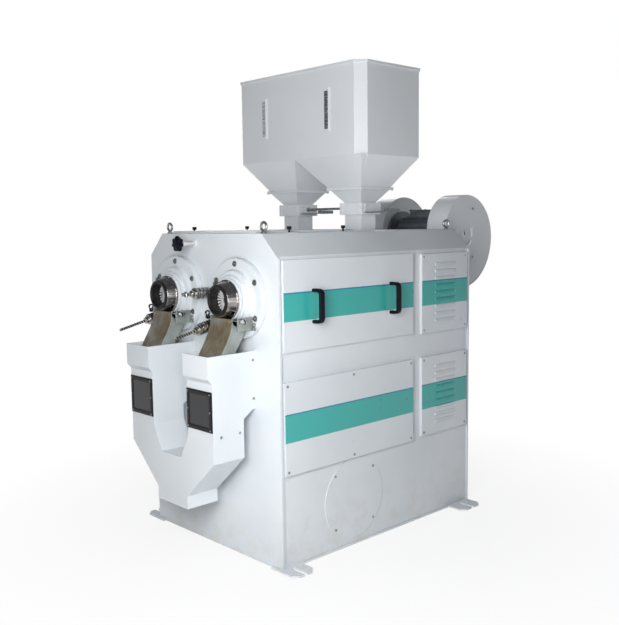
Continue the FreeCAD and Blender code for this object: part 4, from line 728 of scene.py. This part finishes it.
def makeFlanges():
    # Cast chamber flanges: stepped discs with rounded corners, enamelled white
    look = flangeLook
    bore, rim, one, two = (look[key] for key in ("bore", "rim", "stepOne", "stepTwo"))
    a = -look["rimThick"]
    b = a - look["one"]
    c = b - look["two"]
    profile = rounded([(bore, 0), (rim, 0), (rim, a), (one + 4, a), (one, b), (two + 2, b), (two, c),
                       (bore, c), (bore, 0)], look["fillet"], 5)
    for way, name in sides:
        grid = turnedGrid(profile, (way * unitX, frontY, unitZ), 128)
        addPiece("roundedFlange_" + name, [grid], castEnamel, hides=["chamber_flanges"])


boltLook = {
    "circle": 148, "radius": 9, "height": 9,
    "seat": 13, "seatThick": 1.2,
    "clamp": 12, "clampHeight": 16, "clampOut": (63, 74),  # beside the shaft, and before the front plate
}


def makeFlangeBolts():
    # Socket screws in spot-faced seats round each flange, and the hexagon screw that clamps each cone
    look = boltLook
    seat, bore, thick = look["seat"], look["radius"] - 1, -look["seatThick"]
    washer = [(bore, 0), (seat, 0), (seat, thick), (bore, thick), (bore, 0)]
    aside, out = look["clampOut"]
    parts, rings = [], []
    for way in ends:
        for angle in np.radians([30, 90, 150, 210, 270, 330]):
            spot = (way * unitX + look["circle"] * math.cos(angle), frontY - flangeLook["rimThick"],
                    unitZ + look["circle"] * math.sin(angle))
            parts.append(headParts(look["radius"], look["height"], "hex", "Y", spot, -1, 0.75))
            rings.append(turnedGrid(washer, spot, 24))
        spot = (way * unitX - aside, frontY - out, unitZ + aside)
        parts.append(hexHead(look["clamp"], look["clampHeight"], "Y", spot, -1))
    addPiece("socketScrews", parts, oiledSteel, crease=40, hides=["flange_bolts"])
    addPiece("screwSeats", rings, zincPlate)


headLook = {
    "reach": 62,  # how far the white flange steps stand out from the front plate
    "collar": (90, 12),  # radius and thickness of the last white step
    "rim": (84, 6),
    "cone": (79, 66, 40),  # large radius, small radius, length
    "ring": (65.5, 51, 8),  # outer radius, bore, length
    "screws": 6, "screwSize": (3.6, 2.2), "screwIn": 4.5,
}


def makeHeads():
    # Discharge head of each unit: a white collar, the turned cone with its rim, the black ring on its nose
    look = headLook
    collars, rings, screws = [], [], []
    out, thick = look["collar"]
    rim, rimThick = look["rim"]
    large, small, length = look["cone"]
    outer, bore, ringLong = look["ring"]
    a, b, c = -thick, -thick - rimThick, -thick - rimThick - length
    nose = c - ringLong
    collar = rounded([(70, 0), (out, 0), (out, a), (70, a)], 2)
    cone = rounded([(60, a), (rim, a), (rim, b), (large, b), (large - 2, b - 4), (small, c), (bore, c),
                    (bore, b)], 1.5)
    ring = rounded([(bore, c), (outer - 2, c), (outer, c - 2), (outer, nose), (bore + 2, nose),
                    (bore, c - 3)], 2.5, 5) + [(bore, c)]
    circle = rim - look["screwIn"]
    for way, name in sides:
        spot = (way * unitX, frontY - look["reach"], unitZ)
        collars.append(turnedGrid(collar, spot, 96))
        grid = turnedGrid(cone, spot, 128)
        addPiece("turnedCone_" + name, [grid], turnedSteel, hides=["discharge_cones"])
        rings.append(turnedGrid(ring, spot, 96))
        for turn in range(look["screws"]):
            angle = math.radians(15 + 360 / look["screws"] * turn)
            place = (spot[0] + circle * math.cos(angle), spot[1] + b, unitZ + circle * math.sin(angle))
            screws.append(headParts(*look["screwSize"], "cross", "Y", place, -1))
    addPiece("lastFlangeStep", collars, castEnamel)
    addPiece("blackRings", rings, blackPaint, hides=["end_rings"])
    addPiece("rimScrews", screws, zincPlate, crease=40)


nutLook = {
    "bars": 22, "share": 0.5,  # how many bars, and how much of the circle they fill
    "reach": (17, 48.5),  # inner and outer radius of the bars
    "deep": 42,  # how far the bars lie inside the black ring
    "airBore": 15, "shaft": 30,
    "rear": 600,
}


def makeShafts():
    # Hollow shaft whose slotted nut sits deep in the ring's bore: radial bars over a dark disc of painted
    # shade, inside a dark sleeve of painted shade that darkens the bore
    look = nutLook
    bore = headLook["ring"][1]
    reach = headLook["reach"] + sum(headLook[key][-1] for key in ("collar", "rim", "cone", "ring"))
    inner, outer = look["reach"]
    deep, air, shaft = look["deep"], look["airBore"], look["shaft"]
    half = math.pi * look["share"] / look["bars"]
    radii = np.array([inner, inner + 1.5, outer - 1, outer])[:, None]
    lift = np.array([0, 1.2, 1.2, 0])[:, None]
    hub = rounded([(air, deep + 8), (air, deep - 3), (inner - 2, deep - 5), (inner + 1, deep),
                   (inner + 1, deep + 8)], 1.2)
    # dark disc behind the bars: painted shade in the slots
    back = [(air, deep + 5), (outer + 1, deep + 5), (outer + 1, deep + 8), (air, deep + 8), (air, deep + 5)]
    # thin dark sleeve lining the bore: painted shade
    shadeSleeve = [(bore - 0.6, 4), (bore - 0.6, deep + 14), (bore + 0.2, deep + 14), (bore + 0.2, 4),
              (bore - 0.6, 4)]
    for way, name in sides:
        spot = (way * unitX, frontY - reach, unitZ)
        body = "shaft_assembly_" + name
        bars = []
        for turn in range(look["bars"]):
            angle = 2 * math.pi * turn / look["bars"] + np.linspace(-half, half, 4)
            top = gridOf(spot[0] + radii * np.cos(angle), spot[1] + deep - lift,
                         unitZ + radii * np.sin(angle))
            floor = top + [0, 6, 0]
            bars.append(joinGrid(np.concatenate([top, floor[::-1]], axis=0), loop=True))
            for column in (0, 3):
                bars.append(joinGrid(np.stack([top[:, column], floor[:, column]])))
        addPiece("slottedNut_" + name, bars + [turnedGrid(hub, spot)], crownSteel, body)
        addPiece("nutShadeDisc_" + name, [turnedGrid(back, spot)], castSteel, body)
        addPiece("boreShadeSleeve_" + name, [turnedGrid(shadeSleeve, spot, 72)], castSteel)
        rear = look["rear"] - spot[1]
        tube = rounded([(air, deep + 9), (shaft, deep + 9), (shaft, rear), (air, rear)], 1)
        grid = turnedGrid(tube + [(air, deep + 9)], spot)
        addPiece("hollowShaft_" + name, [grid], brightSteel, body, hides=["main_shaft_" + name])


knobLook = {
    "place": (-100, 1356), "out": 80,  # across and up, and how far out its back stands
    "lobes": 7, "radius": 31, "lobe": 0.13, "thick": 28, "shank": 14,
    "spindle": 8, "inside": 60,
}


def makeStarKnob():
    # Seven-lobed star grip: a domed disc whose radius swells at each lobe, on a turned spindle
    look = knobLook
    x, z = look["place"]
    out = look["out"]
    back = (x, frontY - out, z)
    def lobes(angle):
        return 1 + look["lobe"] * np.cos(look["lobes"] * angle)
    r, t, shank, pin = (look[key] for key in ("radius", "thick", "shank", "spindle"))
    body = rounded([(0, -t), (r * 0.5, -t), (r * 0.92, -t + 3), (r, -t + 9), (r, -8), (r * 0.8, 0),
                    (shank, 0), (0, 0)], 5, 5)
    grip = turnedGrid(body, back, 112, outline=lobes)
    addPiece("starGrip", [grip], blackPlastic, "star_grip", hides=["star_knob"])
    end = out + look["inside"]
    rod = turnedGrid(rounded([(0, -t + 8), (pin, -t + 8), (pin, end), (0, end)], 1), back, 32)
    collar = turnedGrid(rounded([(7.5, 0), (12, 0), (12, 16), (7.5, 16)], 1.5), back, 32)
    addPiece("knobSpindle", [rod, collar], crownSteel, "star_grip")
    seat = rounded([(8.4, 0), (17, 0), (17, -5), (13, -7), (8.4, -7)], 1.2)
    addPiece("spindleBush", [turnedGrid(seat, (x, frontY, z), 40)], whiteEnamel)


gripLook = {
    "face": 466.3, "reach": 512.3, "half": 65.5, "bend": 20,
    "wide": 13, "thick": 7, "edge": 5,
    "places": (191, 676), "level": 1097,
}


def makeHandles():
    # Moulded bow handles: a flat rounded bar whose ends turn in to the door
    look = gripLook
    w, t, long = look["wide"], look["thick"], look["half"]
    half = rounded([(-t, 0), (-t, w), (t, w), (t, 0)], look["edge"], 5)
    section = half + [(a, -b) for a, b in reversed(half[1:-1])]
    flat = rounded([(look["face"], -long), (look["reach"], -long), (look["reach"], long),
                    (look["face"], long)], look["bend"], 10)
    for way, name in sides:
        paths = [[(way * a, frontY + lead, look["level"] + b) for a, b in flat] for lead in look["places"]]
        grips = [swept(path, section, False, (0, 1, 0)) for path in paths]
        addPiece("bowHandles_" + name, grips, blackPlastic, "side_door_" + name, 35,
                 ["door_handles_" + name])


eyeLook = {"ring": 17, "wire": 5.5, "height": 1428.5, "across": 340, "leads": (30, 1245), "roof": 1400}


def makeLiftingEyes():
    # Forged lifting eyes: a round ring on a flared collar
    look = eyeLook
    u = (np.arange(48) * 2 * math.pi / 48)[:, None]
    v = np.arange(20) * 2 * math.pi / 20
    reach = look["ring"] + look["wire"] * np.cos(v)
    flare = rounded([(0, 0), (13, 0), (13, 4), (8, 7), (6.5, 12), (0, 13)], 2, 4)
    parts = []
    for way in ends:
        for lead in look["leads"]:
            x, y = way * look["across"], frontY + lead
            grid = gridOf(x + reach * np.cos(u), y + look["wire"] * np.sin(v),
                          look["height"] + reach * np.sin(u))
            parts += [joinGrid(grid, wrap=True, loop=True), turnedGrid(flare, (x, y, look["roof"]), 32, "Z")]
    addPiece("forgedEyes", parts, zincPlate, crease=40, hides=["lifting_eyes"])


windowLook = {
    "across": (131, 303), "levels": (600, 768),
    "edge": 20, "thick": 6,
    "out": 226,  # how far the hopper's sloping face stands out here
    "screw": (3.6, 2),
}


def makeWindowFrames():
    # Moulded black frames: a rounded section carried round each window with mitred corners
    look = windowLook
    face = frontY - look["out"]
    half, t = look["edge"] / 2, look["thick"]
    section = rounded([(-half, 0), (-half, t * 0.6), (-half * 0.6, t), (half * 0.6, t), (half, t * 0.6),
                       (half, 0)], 2)
    low, high = look["levels"][0] + half, look["levels"][1] - half
    frames, screws = [], []
    for way in ends:
        near, far = sorted(way * edge for edge in look["across"])
        a, b = near + half, far - half
        path = [(a, face, low), (b, face, low), (b, face, high), (a, face, high)]
        frames.append(swept(path, section, True, (0, -1, 0)))
        screws += [headParts(*look["screw"], "cross", "Y", (x, face - t, z), -1)
                   for x in (a, b) for z in (low, (low + high) / 2, high)]
    addPiece("windowSurrounds", frames, blackPaint, hides=["window_frames"])
    addPiece("windowScrews", screws, zincPlate, crease=40)


ventLook = {"length": 160, "height": 15, "rise": 2.4, "pitch": 34, "rows": 9, "lead": 178, "face": 466}


def makeVentHoods():
    # Pressed louvre hoods, one to a row: each a long bubble with steep ends, closed above, open below
    look = ventLook
    u = np.linspace(0, 1, 41)[:, None]
    v = np.linspace(0, 1, 9)
    swell = np.minimum(1, np.sin(math.pi * u) * 3.2) ** 0.5 * np.cos(v * math.pi / 2) ** 0.9
    for way, name in sides:
        parts = []
        for start, _, low, height in louvrePanels:
            first = low + height / 2 - look["pitch"] * (look["rows"] - 1) / 2
            for row in range(look["rows"]):
                parts.append(joinGrid(gridOf(
                    way * (look["face"] + look["rise"] * swell),
                    frontY + start + look["lead"] + (u - 0.5) * look["length"],
                    first + row * look["pitch"] - 4 + v * look["height"])))
        addPiece("pressedVents_" + name, parts, ventEnamel, crease=60, wall=-0.8)


chuteLook = {
    "half": 74, "wall": 3, "corner": 1.4,
    "front": [(-106, 1052), (-108, 985), (-150, 950), (-188, 868)],
    "back": [(-34, 1010), (-38, 985), (-92, 925), (-120, 868)],
    "steps": 24,
    "cheek": [(-31, 1000), (-31, 1031), (-49, 1031), (-51, 1050), (-88, 1057), (-107, 1057), (-107, 1038),
              (-98, 1026)],
    "bracket": ((108, -110, 1004), (114, -30, 1060)),
    "foot": ((108, -36, 1004), (134, -30, 1036)),
    "rivets": (58, -106.5, 1041),
}


def curvePoints(handles, steps):
    # Cubic Bezier through four (y, z) handles
    t = np.linspace(0, 1, steps)[:, None]
    p = np.array(handles, float)
    return (1 - t) ** 3 * p[0] + 3 * (1 - t) ** 2 * t * p[1] + 3 * (1 - t) * t ** 2 * p[2] + t ** 3 * p[3]


def chuteSkin(x, inset):
    # One rectangle with rounded corners for each step between the front and the back curve
    look = chuteLook
    w = look["half"] - inset
    arc = np.linspace(0, math.pi / 2, 5)
    corner = look["corner"] - inset * 0.3
    turn = list(zip(corner * (1 - np.cos(arc)), corner * (1 - np.sin(arc))))
    front = curvePoints(look["front"], look["steps"]) + [inset, 0]
    back = curvePoints(look["back"], look["steps"]) - [inset, 0]
    rings = []
    for start, end in zip(front, back):
        length = np.linalg.norm(end - start)
        along = (end - start) / length
        spots = [(a - w, s) for a, s in turn] + [(w - a, s) for a, s in turn[::-1]]
        spots += [(w - a, length - s) for a, s in turn] + [(a - w, length - s) for a, s in turn[::-1]]
        across, run = np.array(spots).T
        rings.append(gridOf(x + across, frontY + start[0] + along[0] * run, start[1] + along[1] * run))
    return np.array(rings)


def makeChutes():
    # Rolled sheet chutes: a rectangle carried down between a front and a back curve, open at both ends
    look = chuteLook
    half, wall, cheek = look["half"], look["wall"], look["cheek"]
    count = len(cheek)
    faces = [[i, (i + 1) % count, (i + 1) % count + count, i + count] for i in range(count)]
    caps = [[0, 1, 2, 7], [2, 3, 4, 7], [4, 5, 6, 7]]
    faces = np.array(faces + caps + [[q + count for q in reversed(cap)] for cap in caps])
    for way, name in sides:
        start = np.array([way * unitX, frontY, 0])
        skin = np.concatenate([chuteSkin(start[0], 0), chuteSkin(start[0], wall)[::-1]], axis=0)
        parts = []
        for side in (-half, half - wall):  # cheeks above the chute that carry the pivot
            parts.append((start + [[side + dx, a, b] for dx in (0, wall) for a, b in cheek], faces))
        parts += [boxParts(*(start + look[key])) for key in ("bracket", "foot")]
        across, out, level = look["rivets"]
        rivets = [headParts(4.2, 2.4, "hex", "Y", start + [a * across, out, level], -1, 0.2) for a in ends]
        addPiece("chuteRivets_" + name, rivets, zincPlate)
        addPiece("curvedChute_" + name, [joinGrid(skin, wrap=True, loop=True)], chuteSteel, crease=35,
                 hides=["discharge_spouts"])
        addPiece("chuteCheeks_" + name, parts, cheekSteel, crease=35, hides=["discharge_spouts"], bevel=0.8)


wingLook = {
    "screw": (7, 5), "screws": (124, -36, (1012, 1028)),
    "hub": 132, "wings": (135, 4),  # distance beside the shaft, thickness
    "loop": (15, 8, 8.1),  # from the pivot to the loop's middle, half its width, half its height
}


def makeBracketBolts():
    # Two hexagon screws on the bracket's foot and a wing nut on each pivot's end
    look = wingLook
    across, out, levels = look["screws"]
    start, thick = look["wings"]
    away, wide, tall = look["loop"]
    u = np.linspace(0, 2 * math.pi, 24, endpoint=False)
    dx = np.array([0, 0, thick, thick])[:, None]
    scale = np.array([0.0, 1.0, 1.0, 0.0])[:, None]
    barrel = rounded([(5.6, 0), (9, 0), (7.5, 9), (5.6, 9)], 1)
    for way, name in sides:
        x = way * unitX
        screws = [hexHead(*look["screw"], "Y", (x + across, frontY + out, z), -1) for z in levels]
        addPiece("bracketScrews_" + name, screws, zincPlate)
        wings = [joinGrid(gridOf(x + start + dx, pivotY + lean * away + scale * wide * np.cos(u),
                                 pivotZ + scale * tall * np.sin(u)), wrap=True) for lean in (1, -1)]
        hub = turnedGrid(barrel, (x + look["hub"], pivotY, pivotZ), 28, "X")
        addPiece("wingNut_" + name, wings + [hub], zincPlate, "lever_" + name)


weightLook = {
    "disc": 25, "core": 19, "thick": 17, "groove": 3, "collar": 15, "collarLong": 14,
    "bore": 6.05,
    "stacks": (2, 4),  # discs on the left-hand and right-hand lever
    "slope": 13,  # degrees
    "start": (-106, 33, -30), "back": 15,  # from the pivot to the first disc's face
    "pegBore": 8, "pegDiscs": 4, "pegEnd": -145.6,
}


def stackProfile(count, bore):
    look = weightLook
    corners = [(bore, 0)]
    run = 0
    for _ in range(count):
        corners += [(look["disc"], run), (look["disc"], run + look["thick"])]
        run += look["thick"]
        corners += [(look["core"], run + 0.2), (look["core"], run + look["groove"])]
        run += look["groove"]
    end = run + look["collarLong"]
    corners += [(look["collar"], run + 0.2), (look["collar"], end - 0.5), (bore, end)]
    return rounded(corners, 1.6, 3) + [(bore, 0)]


def leanedGrid(profile, way):
    # A profile turned round the lever's sloping rod
    look = weightLook
    slope, turn = math.radians(look["slope"]), math.radians(90 + look["slope"])
    points, faces = turnedGrid(profile, (0, 0, 0), 56, "Z")
    y = points[:, 1] * math.cos(turn) - points[:, 2] * math.sin(turn)
    z = points[:, 1] * math.sin(turn) + points[:, 2] * math.cos(turn)
    aside, out, up = look["start"]
    return gridOf(points[:, 0] + way * unitX + aside, y + pivotY + out - look["back"] * math.cos(slope),
                  z + pivotZ + up - look["back"] * math.sin(slope)), faces


def makeWeights():
    # Turned disc weights with eased edges, and a clamping collar with its screw
    look = weightLook
    for (way, name), count in zip(sides, look["stacks"]):
        grid = leanedGrid(stackProfile(count, look["bore"]), way)
        addPiece("discStack_" + name, [grid], discSteel, "weights_" + name,
                 hides=["lever_weights_" + name])
    bore, end, root = look["pegBore"], look["pegEnd"], (0, frontY, pegZ)
    profile = [(r, -a) for r, a in stackProfile(look["pegDiscs"], bore)]
    stack = turnedGrid(profile, (0, frontY - 8, pegZ), 56)
    foot = turnedGrid(rounded([(bore, 0), (22, 0), (22, -8), (bore, -8)], 1.5) + [(bore, 0)], root, 48)
    tip = turnedGrid(rounded([(0, -100), (bore, -100), (bore, end), (0, end)], 1.2), root, 32)
    nut = hexHead(13, 9, "Y", (0, frontY - 124, pegZ), -1)
    addPiece("spareDiscs", [stack, foot, tip, nut], discSteel, hides=["weight_peg"])


fanLook = {
    "radius": 182.0, "step": 44.0, "width": 124.0,
    "y": 840.0, "z": 1375.0,
    "mouthTop": 145.0, "mouth": 640.0,
    "bead": 7.0,
    "arcs": (176, 6, -58), "arcSpan": 50,  # degrees
    "arcRadius": 68, "arcWide": 22, "arcRise": 7,
    "screwCircle": 150,
}


def scrollOutline(steps=14):
    # Three arcs of growing radius, then the straight mouth, as (y, z) rows round the fan's shaft
    look = fanLook
    half = look["step"] / 2
    first = look["radius"]
    second, third = first + look["step"], first + 2 * look["step"]
    tongueZ = -look["mouthTop"]
    tongueY = half - math.sqrt(first ** 2 - (tongueZ - half) ** 2)
    mouth = look["mouth"] - look["y"]
    def arc(cy, cz, r, a, b):
        t = np.radians(np.linspace(a, b, steps))
        return np.stack([cy + r * np.cos(t), cz + r * np.sin(t)], axis=1)
    end = math.degrees(math.atan2(tongueZ - half, tongueY - half)) % 360
    body = np.concatenate([[[mouth, -(half + third)]], arc(-half, -half, third, 270, 360),
                           arc(half, -half, second, 0, 90)[1:], arc(half, half, first, 90, end)[1:],
                           [[mouth, tongueZ]]])
    return body + [look["y"], look["z"]]


def pressedArc(x, way, middle):
    # A rib pressed along an arc: its height is a cosine hump across and fades out at both ends
    look = fanLook
    u = np.linspace(-1, 1, 33)[:, None]
    v = np.linspace(-1, 1, 9)[None, :]
    radius = look["arcRadius"] + v * look["arcWide"] / 2 * np.sqrt(1 - 0.9 * u ** 8)
    angle = math.radians(middle) + u * math.radians(look["arcSpan"]) / 2
    rise = look["arcRise"] * np.cos(v * math.pi / 2) * np.cos(u * math.pi / 2) ** 0.5
    return joinGrid(gridOf(x + way * rise, look["y"] + radius * np.cos(angle),
                           look["z"] + radius * np.sin(angle)))


def makeFanTrim():
    # Folded seam round both faces of each scroll, its screws, and the ribs pressed round the closed hub,
    # with a dark block of painted shade for its slit
    look = fanLook
    y, z, bead, reach = (look[key] for key in ("y", "z", "bead", "screwCircle"))
    outline = scrollOutline()
    slitShades = []
    for way, name in sides:
        parts, screws = [], []
        for face in ends:
            x = way * unitX + face * look["width"] / 2
            path = np.column_stack([np.full(len(outline), x), outline])
            section = rounded([(-bead, 0), (-bead, 1.6 * face), (-0.4, 1.6 * face), (-0.2, 0)], 0.6)
            parts.append(swept(path, section, False, (1, 0, 0)))
        x = way * (unitX + look["width"] / 2)
        parts += [pressedArc(x, way, middle) for middle in look["arcs"]]
        boss = rounded([(0, 3 * way), (16, 3 * way), (20, 0), (0, 0)], 1.2)
        parts.append(turnedGrid(boss, (x, y, z), 40, "X"))
        # a dark block on each hub: painted shade standing in for the hub's slit
        slitShades.append(boxParts((x + way * 1.0, y - 3.5, z - 9), (x + way * 3.8, y + 3.5, z + 9)))
        for angle in np.radians([60, 180, 300]):
            spot = (x, y + reach * math.cos(angle), z + reach * math.sin(angle))
            screws.append(hexHead(7, 5, "X", spot, way))
        addPiece("scrollSeams_" + name, parts, fanEnamel)
        addPiece("scrollScrews_" + name, screws, zincPlate)
    addPiece("hubSlitShades", slitShades, castSteel)


motorLook = {
    "box": (55, 48, 86, 122),  # half length, half width, lowest and highest level over the fans' shaft
    "lid": (58, 51, 123, 131),
    "screws": (48, 41), "feet": (75, 78, -116),
}


def makeMotorBox():
    # Cast terminal box on top of the fan motor, with its lid and four screws, and the motor's foot screws
    look = motorLook
    y, z = fanLook["y"], fanLook["z"]
    blocks = [boxParts((-a, y - b, z + low), (a, y + b, z + high)) for a, b, low, high in
              (look["box"], look["lid"])]
    across, out = look["screws"]
    top = z + look["lid"][3]
    screws = [headParts(4.5, 3, "cross", "Z", (a * across, y + b * out, top)) for a, b in fourWays]
    addPiece("terminalBox", blocks, motorEnamel, crease=35, bevel=3)
    addPiece("terminalScrews", screws, zincPlate, crease=40)
    across, out, level = look["feet"]
    feet = [hexHead(9, 7, "Z", (a * across, y + b * out, z + level)) for a, b in fourWays]
    addPiece("motorFootScrews", feet, zincPlate)


jointLook = {
    "reach": 107.5, "level": 1597, "half": 5, "screw": (4.6, 4),
    "gateScrew": (6.5, 5), "gateLevels": (1500, 1520), "front": (58, 65), "side": (73, 40),
    "rod": (145, 1508), "nut": (11, 8),
}


def makeJointScrews():
    # Hexagon screws round the funnels' joint flanges and the slide gates' boxes
    look = jointLook
    reach, half = look["reach"], look["half"]
    spots = [(a * reach, b * reach) for a in ends for b in (-1, 0, 1)] + [(0, reach), (0, -reach)]
    parts = []
    for way in ends:
        x = way * unitX
        for a, b in spots:
            for up in (1, -1):
                spot = (x + a, feedY + b, look["level"] + up * half)
                parts.append(hexHead(*look["screw"], "Z", spot, up))
        for a in ends:
            for z in look["gateLevels"]:
                for axis, side, (across, out) in (("Y", -1, look["front"]), ("X", a, look["side"])):
                    parts.append(hexHead(*look["gateScrew"], axis, (x + a * across, feedY - out, z), side))
    addPiece("funnelScrews", parts, whiteEnamel)
    across, level = look["rod"]
    nuts = [hexHead(*look["nut"], "X", (a * across, feedY, level), -a) for a in ends]
    addPiece("tieRodNuts", nuts, zincPlate)


seamLook = {
    "radius": 2.2, "wave": 4.0,
    "box": (432.0, 218.5, 42.0, 1740),  # half width, half depth, cut corner and level of the seams' tops
    "funnel": (102.5, 10, 1602),  # half width, cut corner and level of their feet
}


def makeWelds():
    # Weld beads along the hopper's lower seams: half-round, with a height that ripples every few mm
    look = seamLook
    w, h, c, top = look["box"]
    e, d, foot = look["funnel"]
    u = np.linspace(0, 2 * math.pi, 8, endpoint=False)[:, None]
    parts = []
    for way in ends:
        high = [(way * (w - c), -h), (way * w, -h + c), (way * w, h - c), (way * (w - c), h)]
        m = unitX + e
        low = [(way * (m - d), -e), (way * m, -e + d), (way * m, e - d), (way * (m - d), e)]
        for (a, b), (p, q) in zip(high, low):
            start = np.array([a, feedY + b, top])
            run = np.array([p, feedY + q, foot]) - start
            length = np.linalg.norm(run)
            count = max(8, int(length / look["wave"] * 2))
            t = np.linspace(0, 1, count)
            swell = look["radius"] * (1 + 0.12 * np.sin(t * count * 2.1))
            one = np.cross(run / length, (0, 0, 1))
            one /= np.linalg.norm(one)
            two = np.cross(run / length, one)
            ring = np.cos(u) * one + np.sin(u) * two
            grid = start + t[:, None, None] * run + swell[:, None, None] * ring[None]
            parts.append(joinGrid(grid, wrap=True))
    addPiece("hopperWelds", parts, hopperEnamel, crease=60)


for make in (makePanelScrews, makeFlanges, makeFlangeBolts, makeHeads, makeShafts, makeStarKnob,
             makeHandles, makeLiftingEyes, makeWindowFrames, makeVentHoods, makeChutes,
             makeBracketBolts, makeWeights, makeFanTrim, makeMotorBox, makeJointScrews, makeWelds):
    make()
    print("made:", make.__name__)
